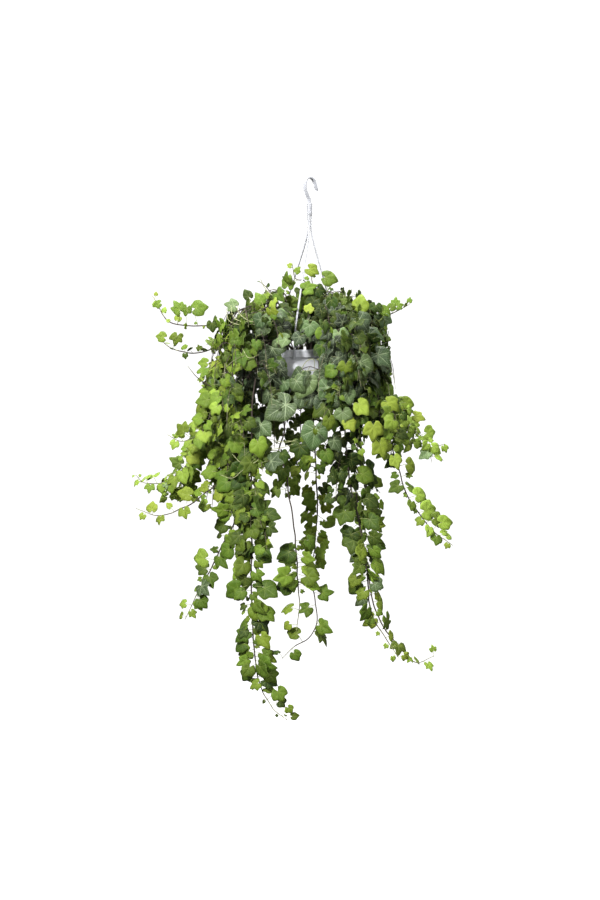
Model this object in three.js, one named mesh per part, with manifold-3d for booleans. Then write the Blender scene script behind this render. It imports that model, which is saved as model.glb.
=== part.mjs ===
// Hanging pot of English ivy: a plastic nursery pot on a hook with three legs, full of soil, from which
// vines arch over the rim and trail. Millimetres, +Z up. The origin is the inside crown of the hook,
// where it rests on whatever holds it. +X is to the right and -Y is the front.
import * as THREE from "three";
import { mergeVertices } from "three/addons/utils/BufferGeometryUtils.js";
import Module from "manifold-3d";

const wasm = await Module();
wasm.setup();

// Pot. The hanger's legs pull unevenly, so the pot's axis sits a little to the left of the hook.
const POT_AXIS_X = -14;
const RIM_RADIUS = 85;
const RIM_TOP_Z = -390;
const RIM_BAND_HEIGHT = 17;
const BODY_TOP_RADIUS = 79;
const BASE_RADIUS = 60;
const POT_HEIGHT = 125;
const POT_WALL = 1.2;
const DRAIN_HOLES = 5;
const DRAIN_HOLE_RADIUS = 5;
const ROUND_SEGMENTS = 36;

// Soil, filled to a finger's width below the rim.
const SOIL_DEPTH_BELOW_RIM = 12;
const GAP = 0.35;
const SOIL_TOP_Z = RIM_TOP_Z - SOIL_DEPTH_BELOW_RIM;

// Hanger.
const HOOK_TURN_DEG = 40;
const STRAP_WIDTH = 9;
const STRAP_THICKNESS = 3.6;
const COLLAR_TOP_Z = -55;
const COLLAR_HEIGHT = 28;
const COLLAR_RADIUS = 6.2;
const LEG_WIDTH = 4;
const LEG_THICKNESS = 2.4;
const LEG_BUNDLE_RADIUS = 4.1;
const LEG_FAN_Z = -118;
const CLIP_WIDTH = 7;
const CLIP_FOOT = 5;
// Where each leg clips to the rim, in degrees about the pot's axis from the front, positive to the right.
const LEG_ANGLES_DEG = { front: -13, right: 107, left: -133 };

// Vines and leaves.
const STEM_SIDES = 4;
const STEM_STEP = 46;
const LEAF_THICKNESS = 1.6;
const STALK_WIDTH = 1;
const LEAF_TRIES = 8;
const LEAST_TRIANGLE_HEIGHT = 0.006;

const deg = THREE.MathUtils.degToRad;
const vec = (x, y, z) => new THREE.Vector3(x, y, z);

const plastic = new THREE.MeshStandardMaterial({ color: 0xd9dce6, roughness: 0.45, metalness: 0 });
const hangerPlastic = new THREE.MeshStandardMaterial({ color: 0xeeeff2, roughness: 0.4, metalness: 0 });
const pottingSoil = new THREE.MeshStandardMaterial({ color: 0x2a2018, roughness: 1, metalness: 0 });
const youngLeaf = new THREE.MeshStandardMaterial({ color: 0x86a72c, roughness: 0.5, metalness: 0 });
const oldLeaf = new THREE.MeshStandardMaterial({ color: 0x4d6b3c, roughness: 0.5, metalness: 0 });

const ivy = new THREE.Group();

function addMesh(name, geometry, material) {
  const mesh = new THREE.Mesh(geometry, material);
  mesh.name = name;
  ivy.add(mesh);
  return mesh;
}

function solidOf(geometry) {
  const bare = geometry.clone();
  bare.deleteAttribute("normal");
  bare.deleteAttribute("uv");
  const merged = mergeVertices(bare, 1e-4);
  return new wasm.Manifold(
    new wasm.Mesh({
      numProp: 3,
      vertProperties: merged.attributes.position.array,
      triVerts: new Uint32Array(merged.index.array),
    }),
  );
}

function geometryOf(solid) {
  const mesh = solid.getMesh();
  const geometry = new THREE.BufferGeometry();
  geometry.setAttribute("position", new THREE.BufferAttribute(mesh.vertProperties, 3));
  geometry.setIndex(new THREE.BufferAttribute(mesh.triVerts, 1));
  geometry.computeVertexNormals();
  return geometry;
}

// A small repeatable random source, so that the plant grows the same way every time.
function randomSource(seed) {
  let state = seed;
  return () => {
    state = (state * 16807) % 2147483647;
    return state / 2147483647;
  };
}

// A point at a radius and an angle about the pot's axis.
function aroundPot(radius, angleDeg, z) {
  return vec(POT_AXIS_X + radius * Math.sin(deg(angleDeg)), -radius * Math.cos(deg(angleDeg)), z);
}

// Pot: a turned wall with a stepped-out rim band, and drain holes through its base.
function potGeometry() {
  const base = RIM_TOP_Z - POT_HEIGHT;
  const bandBottom = RIM_TOP_Z - RIM_BAND_HEIGHT;
  const profile = [
    [0, base],
    [BASE_RADIUS, base],
    [BODY_TOP_RADIUS, bandBottom],
    [RIM_RADIUS, bandBottom],
    [RIM_RADIUS, RIM_TOP_Z - POT_WALL / 2],
    [RIM_RADIUS - POT_WALL / 2, RIM_TOP_Z],
    [RIM_RADIUS - POT_WALL, RIM_TOP_Z - POT_WALL / 2],
    [RIM_RADIUS - POT_WALL, bandBottom + POT_WALL],
    [BODY_TOP_RADIUS - POT_WALL, bandBottom + POT_WALL],
    [BASE_RADIUS - POT_WALL, base + POT_WALL],
    [0, base + POT_WALL],
  ].map(([r, z]) => new THREE.Vector2(r, z));
  const turned = new THREE.LatheGeometry(profile, ROUND_SEGMENTS);
  turned.rotateX(Math.PI / 2);
  turned.translate(POT_AXIS_X, 0, 0);
  let pot = solidOf(turned);
  for (let i = 0; i < DRAIN_HOLES; i++) {
    const drill = new THREE.CylinderGeometry(DRAIN_HOLE_RADIUS, DRAIN_HOLE_RADIUS, 4 * POT_WALL, 8);
    drill.rotateX(Math.PI / 2);
    const at = aroundPot(BASE_RADIUS * 0.62, (360 / DRAIN_HOLES) * i, base + POT_WALL / 2);
    drill.translate(at.x, at.y, at.z);
    pot = pot.subtract(solidOf(drill));
  }
  return geometryOf(pot);
}

// Soil: fills the pot to its own inside shape, a hair clear of the wall.
function soilGeometry() {
  const floor = RIM_TOP_Z - POT_HEIGHT + POT_WALL + GAP;
  const ledge = RIM_TOP_Z - RIM_BAND_HEIGHT + POT_WALL + GAP;
  const inside = POT_WALL + 2 * GAP;
  const profile = [
    [0, floor],
    [BASE_RADIUS - inside, floor],
    [BODY_TOP_RADIUS - inside, ledge],
    [RIM_RADIUS - inside, ledge],
    [RIM_RADIUS - inside, SOIL_TOP_Z],
    [0, SOIL_TOP_Z],
  ].map(([r, z]) => new THREE.Vector2(r, z));
  const turned = new THREE.LatheGeometry(profile, ROUND_SEGMENTS);
  turned.rotateX(Math.PI / 2);
  turned.translate(POT_AXIS_X, 0, 0);
  return turned;
}

// A flat strip that follows a line drawn in the X-Z plane: its outline is the line set off to both sides,
// and the strip's width runs along Y.
function stripGeometry(line, thickness, width, steps) {
  const curve = new THREE.CatmullRomCurve3(line.map(([x, z]) => vec(x, 0, z)));
  const near = [];
  const far = [];
  for (let i = 0; i <= steps; i++) {
    const at = curve.getPointAt(i / steps);
    const along = curve.getTangentAt(i / steps);
    near.push(new THREE.Vector2(at.x + (along.z * thickness) / 2, at.z - (along.x * thickness) / 2));
    far.push(new THREE.Vector2(at.x - (along.z * thickness) / 2, at.z + (along.x * thickness) / 2));
  }
  const outline = new THREE.Shape([...near, ...far.reverse()]);
  const strip = new THREE.ExtrudeGeometry(outline, { depth: width, bevelEnabled: false });
  strip.translate(0, 0, -width / 2);
  strip.rotateX(Math.PI / 2);
  return strip;
}

// Hook, shank and collar, moulded as one.
function hookGeometry() {
  const inner = STRAP_THICKNESS / 2;
  const line = [
    [0, COLLAR_TOP_Z - 3],
    [-1.5, -47],
    [-7.5, -37],
    [-12.5, -25],
    [-12.6, -11],
    [-7.5, -1.2],
    [1, inner],
    [10, -1],
    [15.5, -9],
    [18.5, -18],
    [22.5, -26],
  ];
  const strap = stripGeometry(line, STRAP_THICKNESS, STRAP_WIDTH, 24);
  strap.rotateZ(deg(HOOK_TURN_DEG));
  const collar = new THREE.CylinderGeometry(COLLAR_RADIUS, COLLAR_RADIUS, COLLAR_HEIGHT, 12);
  collar.rotateX(Math.PI / 2);
  collar.translate(0, 0, COLLAR_TOP_Z - COLLAR_HEIGHT / 2);
  return geometryOf(solidOf(strap).add(solidOf(collar)));
}

// A leg: down in the bundle, out in a straight line, then down the outside of the rim band to a clip
// whose foot turns in under the band.
function legGeometry(angleDeg) {
  const outside = RIM_RADIUS + GAP + LEG_THICKNESS / 2 + 0.3;
  const clip = aroundPot(outside, angleDeg, 0);
  const reach = Math.hypot(clip.x, clip.y);
  const top = COLLAR_TOP_Z - COLLAR_HEIGHT - GAP;
  const foot = RIM_TOP_Z - RIM_BAND_HEIGHT - GAP;
  const line = [
    [LEG_BUNDLE_RADIUS, top],
    [LEG_BUNDLE_RADIUS, LEG_FAN_Z],
    [LEG_BUNDLE_RADIUS + 0.42 * (reach - LEG_BUNDLE_RADIUS), LEG_FAN_Z - 105],
    [reach - 7, RIM_TOP_Z + 48],
    [reach, RIM_TOP_Z + 4],
    [reach, foot],
  ];
  const strip = solidOf(stripGeometry(line, LEG_THICKNESS, LEG_WIDTH, 12));
  const grip = new THREE.BoxGeometry(LEG_THICKNESS + 1, CLIP_WIDTH, RIM_BAND_HEIGHT);
  grip.translate(reach + 0.8, 0, foot + RIM_BAND_HEIGHT / 2 - LEG_THICKNESS + 0.4);
  const hookIn = new THREE.BoxGeometry(CLIP_FOOT + LEG_THICKNESS, CLIP_WIDTH - 1, LEG_THICKNESS);
  hookIn.translate(reach - CLIP_FOOT / 2 + 0.5, 0, foot - LEG_THICKNESS / 2);
  const leg = geometryOf(strip.add(solidOf(grip)).add(solidOf(hookIn)));
  leg.rotateZ(Math.atan2(clip.y, clip.x));
  return leg;
}

// A stem: a slim tube along its route.
function stemCurve(route) {
  return new THREE.CatmullRomCurve3(route.map((p) => vec(...p)), false, "centripetal");
}

function stemSteps(curve) {
  return Math.max(3, Math.round(curve.getLength() / STEM_STEP));
}

function stemSolid(curve, radius) {
  const section = new THREE.Shape();
  for (let i = 0; i < STEM_SIDES; i++) {
    const turn = (2 * Math.PI * i) / STEM_SIDES;
    const corner = [radius * Math.cos(turn), radius * Math.sin(turn)];
    if (i === 0) section.moveTo(...corner);
    else section.lineTo(...corner);
  }
  const settings = { steps: stemSteps(curve), bevelEnabled: false, extrudePath: curve };
  return solidOf(new THREE.ExtrudeGeometry(section, settings));
}

// One half of a leaf's edge, from the notch at its stalk to the lobe beside the tip, as shares of the
// leaf's length: across the leaf, then along it.
const HALF_LEAF = [
  [0.05, -0.03],
  [0.28, -0.2],
  [0.62, 0.2],
  [0.31, 0.42],
];

// A leaf with its stalk: a thin body over a lobed edge, which runs back along the stalk to the stem.
function leafSolid(leaf, thickness) {
  const across = vec(0, 0, 0).crossVectors(leaf.along, leaf.normal);
  const place = (u, v, lift) =>
    leaf.base
      .clone()
      .addScaledVector(across, u * leaf.length)
      .addScaledVector(leaf.along, v * leaf.length)
      .addScaledVector(leaf.normal, lift);
  const droop = -0.1 * leaf.length;
  const right = HALF_LEAF.map(([u, v]) => place(u, v, u * droop));
  const left = HALF_LEAF.map(([u, v]) => place(-u, v, u * droop)).reverse();
  const stalkSide = (u) => leaf.stalkEnd.clone().addScaledVector(across, u);
  const stalk = [stalkSide(-STALK_WIDTH / 2), stalkSide(STALK_WIDTH / 2)];
  const edge = [...stalk, ...right, place(0, 1, droop), ...left];
  const top = place(0, 0.22, thickness / 2);
  const bottom = place(0, 0.22, -thickness / 2);
  const corners = [];
  edge.forEach((corner, i) => {
    const next = edge[(i + 1) % edge.length];
    corners.push(top, corner, next, bottom, next, corner);
  });
  const geometry = new THREE.BufferGeometry().setFromPoints(corners);
  return solidOf(geometry);
}

// Whether a solid touches any of the placed ones, whose boxes are tested first.
function boxOf(solid) {
  const { min, max } = solid.boundingBox();
  return new THREE.Box3(vec(...min), vec(...max));
}

function touchesAny(solid, placed) {
  const box = boxOf(solid);
  return placed.some((other) => box.intersectsBox(other.box) && !solid.intersect(other.solid).isEmpty());
}

// The least height of any of a solid's triangles. A join can leave slivers, which make a poor solid.
function thinnestTriangle(solid) {
  const { vertProperties, triVerts } = solid.getMesh();
  const corner = (i) => vec(0, 0, 0).fromArray(vertProperties, 3 * triVerts[i]);
  let least = Infinity;
  for (let i = 0; i < triVerts.length; i += 3) {
    const triangle = new THREE.Triangle(corner(i), corner(i + 1), corner(i + 2));
    const { a, b, c } = triangle;
    const longest = Math.max(a.distanceTo(b), b.distanceTo(c), c.distanceTo(a));
    least = Math.min(least, (2 * triangle.getArea()) / longest);
  }
  return least;
}

// A vine's leaf at a share of its stem's length. Stalks leave the stem alternately to each side and hang a
// little. The blade goes on in its stalk's line, and turns its face outwards and up, to the light.
function leafAt(vine, curve, share, side, random) {
  const at = curve.getPointAt(share);
  const stemWay = curve.getTangentAt(share);
  const outward = vec(at.x - POT_AXIS_X, at.y, 0).normalize();
  const normal = vine.faces ? vec(...vine.faces) : outward.addScaledVector(vec(0, 0, 1), 0.45);
  normal.add(vec(random() - 0.5, random() - 0.5, random() - 0.5).multiplyScalar(0.7)).normalize();
  const sideways = vec(0, 0, 0).crossVectors(stemWay, normal).normalize().multiplyScalar(side);
  const stalkWay = sideways.clone().addScaledVector(normal, 0.55).addScaledVector(stemWay, 0.3);
  stalkWay.add(vec(0, 0, -0.3 - 0.4 * random())).normalize();
  const length = vine.leaf * (0.8 + 0.4 * random());
  const along = stalkWay.clone().addScaledVector(normal, -stalkWay.dot(normal)).normalize();
  const base = at.clone().addScaledVector(stalkWay, 0.35 * length + 4);
  const stalkEnd = at.clone().addScaledVector(stalkWay, -0.3 * vine.radius);
  return { stalkEnd, base, along, normal, length };
}

// Long trailing vines and level shoots. Each has its route from the soil to its tip, the radius of its stem,
// the length of its leaves, where along it the leaves start, and, where it doesn't just face outwards, the
// way its leaves face. A vine may also have a side shoot, which starts inside its stem.
const soilStart = (x, y) => [
  [x, y, SOIL_TOP_Z + 0.6],
  [x, y, SOIL_TOP_Z + 12],
];
const VINES = [
  {
    name: "vine_front_left_longest",
    route: [
      ...soilStart(-52, -35),
      [-84, -61, -372],
      [-106, -82, -402],
      [-122, -96, -470],
      [-128, -102, -600],
      [-127, -100, -793],
      [-128, -96, -951],
      [-118, -92, -1079],
      [-109, -90, -1128],
      [-81, -88, -1178],
      [-49, -86, -1206],
    ],
    radius: 2,
    leaf: 34,
    leavesFrom: 0.28,
    faces: [-0.3, -1, 0.25],
    perRing: 2,
  },
  {
    name: "vine_back_left_trailing",
    route: [
      ...soilStart(-62, 17),
      [-100, 30, -372],
      [-126, 40, -405],
      [-142, 48, -500],
      [-152, 54, -640],
      [-171, 60, -775],
      [-199, 60, -829],
      [-224, 58, -881],
      [-251, 56, -930],
      [-284, 54, -998],
    ],
    radius: 1.9,
    leaf: 34,
    leavesFrom: 0.3,
    faces: [-0.45, -0.9, 0.3],
  },
  {
    name: "vine_left_low",
    route: [
      ...soilStart(-63, -13),
      [-103, -24, -370],
      [-132, -32, -400],
      [-152, -38, -480],
      [-168, -42, -590],
      [-190, -45, -672],
      [-233, -46, -708],
      [-276, -46, -737],
      [-332, -44, -757],
      [-361, -42, -752],
      [-387, -40, -741],
    ],
    radius: 1.7,
    leaf: 30,
    leavesFrom: 0.32,
    faces: [-0.35, -0.95, 0.35],
  },
  {
    name: "vine_left_back_low",
    route: [
      ...soilStart(-54, 33),
      [-90, 56, -370],
      [-122, 76, -400],
      [-164, 88, -462],
      [-213, 92, -566],
      [-246, 93, -611],
      [-291, 92, -656],
      [-330, 90, -683],
      [-377, 86, -687],
      [-399, 84, -668],
    ],
    radius: 1.7,
    leaf: 30,
    leavesFrom: 0.35,
    faces: [-0.4, -0.8, 0.5],
  },
  {
    name: "vine_left_middle",
    route: [
      ...soilStart(-56, -26),
      [-94, -44, -366],
      [-140, -62, -384],
      [-182, -72, -440],
      [-215, -77, -520],
      [-240, -78, -572],
      [-285, -76, -591],
      [-314, -74, -577],
    ],
    radius: 1.6,
    leaf: 29,
    leavesFrom: 0.3,
    faces: [-0.35, -0.95, 0.35],
    shoot: [
      [-199, -70, -478],
      [-231, -68, -463],
      [-253, -66, -447],
      [-271, -64, -424],
    ],
    shootFrom: 0.5,
  },
  {
    name: "vine_left_upper",
    route: [
      ...soilStart(-44, -5),
      [-72, -8, -358],
      [-112, -13, -337],
      [-160, -18, -328],
      [-206, -22, -332],
      [-273, -24, -332],
      [-314, -24, -323],
      [-343, -22, -280],
      [-352, -20, -266],
    ],
    radius: 1.6,
    leaf: 28,
    leavesFrom: 0.34,
    faces: [-0.2, -1, 0.5],
  },
  {
    name: "vine_left_upper_back",
    route: [
      ...soilStart(-44, 12),
      [-84, 26, -360],
      [-126, 42, -347],
      [-170, 54, -352],
      [-206, 60, -372],
      [-244, 64, -386],
      [-282, 66, -388],
      [-322, 66, -375],
      [-344, 64, -354],
    ],
    radius: 1.6,
    leaf: 26,
    leavesFrom: 0.34,
    faces: [-0.3, -0.6, 0.8],
  },
  {
    name: "vine_front_centre",
    route: [
      ...soilStart(-38, -44),
      [-57, -84, -373],
      [-64, -100, -400],
      [-66, -106, -460],
      [-58, -110, -530],
      [-55, -112, -568],
      [-68, -113, -620],
      [-50, -113, -660],
      [-48, -113, -701],
      [-37, -113, -760],
      [-30, -111, -833],
      [-26, -109, -903],
      [-23, -107, -944],
      [-29, -105, -1008],
    ],
    radius: 1.9,
    leaf: 40,
    leavesFrom: 0.62,
    faces: [0, -1, 0.25],
    shoot: [
      [3, -108, -911],
      [14, -106, -955],
      [15, -104, -990],
      [0, -102, -1021],
      [-36, -100, -1044],
      [-62, -98, -1070],
    ],
    shootFrom: 0.84,
  },
  {
    name: "vine_back_centre",
    route: [
      ...soilStart(-6, 50),
      [-4, 93, -371],
      [2, 112, -402],
      [8, 120, -500],
      [14, 122, -636],
      [19, 120, -728],
      [14, 118, -820],
      [4, 114, -906],
    ],
    radius: 1.9,
    leaf: 36,
    leavesFrom: 0.3,
    perRing: 2,
  },
  {
    name: "vine_right_front_trailing",
    route: [
      ...soilStart(24, -33),
      [56, -61, -371],
      [70, -74, -404],
      [76, -82, -480],
      [80, -87, -613],
      [91, -88, -694],
      [109, -88, -773],
      [124, -86, -860],
      [136, -84, -969],
      [158, -82, -1012],
      [195, -80, -1068],
    ],
    radius: 1.9,
    leaf: 38,
    leavesFrom: 0.28,
    faces: [0.3, -1, 0.25],
    perRing: 2,
  },
  {
    name: "vine_right_back_trailing",
    route: [
      ...soilStart(25, 31),
      [58, 58, -371],
      [76, 72, -402],
      [90, 80, -500],
      [100, 84, -620],
      [114, 86, -760],
      [132, 86, -880],
      [149, 84, -969],
      [177, 82, -1027],
      [206, 80, -1061],
      [245, 78, -1098],
      [287, 76, -1083],
    ],
    radius: 1.9,
    leaf: 34,
    leavesFrom: 0.3,
    faces: [0.6, -0.7, 0.3],
  },
  {
    name: "vine_right_low",
    route: [
      ...soilStart(35, -14),
      [76, -26, -372],
      [102, -33, -397],
      [132, -41, -450],
      [162, -47, -540],
      [184, -51, -612],
      [203, -53, -669],
      [212, -54, -702],
      [246, -54, -757],
      [280, -53, -796],
      [318, -52, -823],
    ],
    radius: 1.7,
    leaf: 36,
    leavesFrom: 0.3,
    faces: [0.4, -0.9, 0.4],
  },
  {
    name: "vine_right_middle",
    route: [
      ...soilStart(36, 10),
      [75, 18, -370],
      [108, 26, -388],
      [142, 34, -434],
      [170, 40, -500],
      [192, 42, -557],
      [231, 42, -582],
      [278, 40, -604],
      [307, 38, -597],
    ],
    radius: 1.6,
    leaf: 32,
    leavesFrom: 0.3,
    faces: [0.5, -0.8, 0.4],
  },
  {
    name: "vine_right_upper",
    route: [
      ...soilStart(16, -4),
      [36, -8, -356],
      [66, -13, -334],
      [100, -17, -325],
      [146, -20, -318],
      [177, -20, -309],
      [204, -18, -296],
      [225, -16, -284],
    ],
    radius: 1.6,
    leaf: 32,
    leavesFrom: 0.34,
    faces: [0.2, -1, 0.5],
  },
  {
    name: "shoot_top_front",
    route: [
      ...soilStart(-22, -22),
      [-18, -32, -330],
      [-10, -38, -262],
      [-12, -38, -234],
      [-32, -36, -229],
      [-39, -36, -194],
    ],
    radius: 1.3,
    leaf: 24,
    leavesFrom: 0.5,
    faces: [0, -1, 0.4],
  },
  {
    name: "shoot_top_right",
    route: [...soilStart(-6, -24), [4, -30, -330], [8, -30, -260], [0, -26, -205]],
    radius: 1.3,
    leaf: 26,
    leavesFrom: 0.4,
    faces: [0.3, -1, 0.4],
  },
  {
    name: "shoot_top_left",
    route: [...soilStart(-36, -14), [-56, -20, -330], [-75, -22, -270], [-95, -22, -250], [-114, -22, -232]],
    radius: 1.3,
    leaf: 26,
    leavesFrom: 0.4,
    faces: [-0.3, -1, 0.5],
  },
];

// An arching vine in one upright plane through the pot's axis: up from the soil, over, and down.
function archRoute(angleDeg, start, crest, reach, end) {
  const foot = aroundPot(start, angleDeg, 0);
  const bend = (share, z) => aroundPot(start + (reach - start) * share, angleDeg, z).toArray();
  return [
    ...soilStart(foot.x, foot.y),
    bend(0.22, SOIL_TOP_Z + 0.62 * (crest - SOIL_TOP_Z)),
    bend(0.55, crest - 4),
    bend(0.82, crest - 8),
    bend(1, crest - 44),
    bend(1.06, 0.5 * (crest - 44 + end)),
    bend(1, end),
  ];
}

// The curtain: vines that arch high and hang well out from the pot, shorter at the front, where they leave
// the pot's face open.
const CURTAIN_ANGLES = [-158, -142, -117, -97, -72, -55, -36, 22, 38, 57, 88, 96, 122, 142, 163, 182];
CURTAIN_ANGLES.forEach((angle, i) => {
  const random = randomSource(1000 + 37 * i);
  const front = Math.cos(deg(angle));
  const left = Math.max(0, -Math.sin(deg(angle)));
  const start = 26 + 9 * (i % 3);
  const crest = -292 + 28 * random();
  const reach = 158 + 22 * random() + 22 * left - 25 * Math.max(0, front);
  const end = crest - (front > 0.8 ? 130 : 260) - 90 * random();
  VINES.push({
    name: "vine_curtain_" + String(i + 1).padStart(2, "0"),
    route: archRoute(angle, start, crest, reach, end),
    radius: 1.5,
    leaf: 32,
    leavesFrom: 0.24,
    perRing: 2,
  });
});

// The inner ring: old shoots that only just clear the rim and hold large leaves close to the pot.
const INNER_ANGLES = [-144, -104, -84, -38, 16, 44, 66, 92, 114, 150];
INNER_ANGLES.forEach((angle, i) => {
  const random = randomSource(5000 + 53 * i);
  const crest = -352 + 26 * random();
  VINES.push({
    name: "vine_inner_" + String(i + 1).padStart(2, "0"),
    route: archRoute(angle, 56, crest, 112 + 14 * random(), crest - 120 - 90 * random()),
    radius: 1.7,
    leaf: 46,
    leavesFrom: 0.3,
    old: true,
  });
});

// The crown: short vines that rise highest, at the middle of the pot, and arch over just inside the curtain.
const CROWN_ANGLES = [-168, -108, -50, 52, 90, 134];
CROWN_ANGLES.forEach((angle, i) => {
  const random = randomSource(9000 + 71 * i);
  const crest = -258 + 26 * random();
  const reach = 80 + 24 * random();
  VINES.push({
    name: "vine_crown_" + String(i + 1).padStart(2, "0"),
    route: archRoute(angle, 15, crest, reach, crest - 70 - 30 * random()),
    radius: 1.4,
    leaf: 30,
    leavesFrom: 0.4,
  });
});

addMesh("pot", potGeometry(), plastic);
addMesh("soil", soilGeometry(), pottingSoil);
addMesh("hanger_hook", hookGeometry(), hangerPlastic);
for (const [side, angle] of Object.entries(LEG_ANGLES_DEG)) {
  addMesh("hanger_leg_" + side, legGeometry(angle), hangerPlastic);
}

// Everything that a leaf has to stay clear of: the made pieces, then every vine's stems, then every leaf.
const made = ivy.children.map((mesh) => {
  const solid = solidOf(mesh.geometry);
  return { solid, box: boxOf(solid) };
});
const grown = VINES.map((vine) => {
  const curve = stemCurve(vine.route);
  let solid = stemSolid(curve, vine.radius);
  const curves = [{ curve, from: vine.leavesFrom }];
  if (vine.shoot) {
    const steps = stemSteps(curve);
    const root = curve.getPointAt(Math.round(vine.shootFrom * steps) / steps);
    const shootCurve = stemCurve([root.toArray(), ...vine.shoot]);
    solid = solid.add(stemSolid(shootCurve, 0.75 * vine.radius));
    curves.push({ curve: shootCurve, from: 0.2 });
  }
  return { vine, curves, solid, box: boxOf(solid) };
});

const leaves = [];
grown.forEach((plant, index) => {
  const random = randomSource(77 + 131 * index);
  const others = grown.filter((other) => other !== plant);
  let whole = plant.solid;
  const leastHeight = Math.min(LEAST_TRIANGLE_HEIGHT, thinnestTriangle(whole));
  for (const { curve, from } of plant.curves) {
    const steps = stemSteps(curve);
    for (let ring = Math.ceil(from * steps); ring < steps; ring++) {
      const count = plant.vine.perRing ?? 1;
      for (let n = 0; n < count; n++) {
        const side = (ring + n) % 2 ? 1 : -1;
        for (let attempt = 0; attempt < LEAF_TRIES; attempt++) {
          const leaf = leafAt(plant.vine, curve, ring / steps, side, random);
          const room = leafSolid(leaf, 3 * LEAF_THICKNESS);
          if (touchesAny(room, made) || touchesAny(room, others) || touchesAny(room, leaves)) continue;
          const solid = leafSolid(leaf, LEAF_THICKNESS);
          const joined = whole.add(solid);
          if (thinnestTriangle(joined) < leastHeight) continue;
          leaves.push({ solid, box: boxOf(solid) });
          whole = joined;
          break;
        }
      }
    }
  }
  addMesh(plant.vine.name, geometryOf(whole), plant.vine.old ? oldLeaf : youngLeaf);
});

export default ivy;
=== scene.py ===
import math
import random

import bmesh
import bpy
import numpy as np
from mathutils import Matrix, Vector


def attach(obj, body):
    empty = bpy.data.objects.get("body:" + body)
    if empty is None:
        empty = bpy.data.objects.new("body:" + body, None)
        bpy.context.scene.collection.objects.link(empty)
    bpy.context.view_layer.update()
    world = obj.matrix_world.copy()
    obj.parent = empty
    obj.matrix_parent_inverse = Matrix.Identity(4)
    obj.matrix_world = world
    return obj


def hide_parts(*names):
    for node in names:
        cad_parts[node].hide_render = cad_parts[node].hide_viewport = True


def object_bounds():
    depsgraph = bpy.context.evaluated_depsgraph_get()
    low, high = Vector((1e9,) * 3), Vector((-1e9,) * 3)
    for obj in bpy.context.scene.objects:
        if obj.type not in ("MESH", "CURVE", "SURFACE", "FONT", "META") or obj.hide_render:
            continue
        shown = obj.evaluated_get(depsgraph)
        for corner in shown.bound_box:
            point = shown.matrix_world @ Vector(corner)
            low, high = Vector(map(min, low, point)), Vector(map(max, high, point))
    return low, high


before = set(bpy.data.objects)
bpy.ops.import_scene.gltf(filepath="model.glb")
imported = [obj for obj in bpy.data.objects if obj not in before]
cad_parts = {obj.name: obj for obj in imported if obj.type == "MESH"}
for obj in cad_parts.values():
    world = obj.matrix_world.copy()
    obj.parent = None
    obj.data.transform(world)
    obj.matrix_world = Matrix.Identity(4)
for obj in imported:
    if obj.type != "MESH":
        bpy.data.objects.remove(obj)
cad_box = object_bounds()
scene = bpy.context.scene


# Camera. A level view from the front, with the hook high in the picture and the longest vine low, from
# far enough away that the pot's rim shows edge on.
VIEW_CENTRE = Vector((-0.0214, 0.0, -0.611))
VIEW_DISTANCE = 4.0
VIEW_HEIGHT = 2.025
SENSOR_LONG_SIDE = 36.0

camera_data = bpy.data.cameras.new("camera")
camera_data.sensor_width = SENSOR_LONG_SIDE
camera_data.lens = SENSOR_LONG_SIDE * VIEW_DISTANCE / VIEW_HEIGHT
camera = bpy.data.objects.new("camera", camera_data)
camera.location = VIEW_CENTRE - Vector((0, VIEW_DISTANCE, 0))
camera.rotation_euler = (math.radians(90), 0, 0)
scene.collection.objects.link(camera)
scene.camera = camera
scene.view_settings.view_transform = "Standard"


# Studio. A pale floor well below the lowest vine, lit from inside like a light table, a white surround
# that is brighter above than below, and four soft lamps: the strongest from the upper left of the
# front, a weaker one from the right, one above and one behind.
FLOOR_Z = -1.75
FLOOR_RADIUS = 14.0
FLOOR_GLOW = 0.75
SURROUND_BELOW = 0.10
SURROUND_ABOVE = 0.46
BACKDROP_BRIGHTNESS = 1.15
LAMPS = {
    "key_lamp": {"at": (-1.6, -2.9, 0.9), "size": 0.55, "watts": 178},
    "fill_lamp": {"at": (1.4, -3.0, -0.1), "size": 1.6, "watts": 40},
    "top_lamp": {"at": (0.2, 0.1, 2.3), "size": 1.4, "watts": 118},
    "back_lamp": {"at": (-0.4, 2.6, 0.8), "size": 2.4, "watts": 40},
}


def new_material(name):
    material = bpy.data.materials.new(name)
    material.use_nodes = True
    tree = material.node_tree
    return material, tree, tree.nodes["Principled BSDF"]


def add_node(tree, kind, **settings):
    """A shader node. A setting names one of its properties, or else one of its inputs."""
    node = tree.nodes.new("ShaderNode" + kind)
    for key, value in settings.items():
        if hasattr(node, key):
            setattr(node, key, value)
        else:
            node.inputs[key.replace("_", " ")].default_value = value
    return node


def link(tree, source, target):
    tree.links.new(source, target)


floor_mesh = bpy.data.meshes.new("floor")
floor_bm = bmesh.new()
bmesh.ops.create_circle(floor_bm, cap_ends=True, segments=96, radius=FLOOR_RADIUS)
floor_bm.to_mesh(floor_mesh)
floor_bm.free()
floor = bpy.data.objects.new("floor", floor_mesh)
floor.location.z = FLOOR_Z
scene.collection.objects.link(floor)
floor_paint, tree, shader = new_material("floor_paint")
mottle = add_node(tree, "TexNoise", Scale=3.0, Detail=4.0)
paint_ramp = add_node(tree, "ValToRGB")
paint_ramp.color_ramp.elements[0].color = (0.93, 0.93, 0.93, 1)
paint_ramp.color_ramp.elements[1].color = (0.97, 0.97, 0.97, 1)
link(tree, mottle.outputs["Fac"], paint_ramp.inputs["Fac"])
link(tree, paint_ramp.outputs["Color"], shader.inputs["Base Color"])
shader.inputs["Roughness"].default_value = 0.9
shader.inputs["Emission Color"].default_value = (1, 1, 1, 1)
shader.inputs["Emission Strength"].default_value = FLOOR_GLOW
floor_mesh.materials.append(floor_paint)
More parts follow.
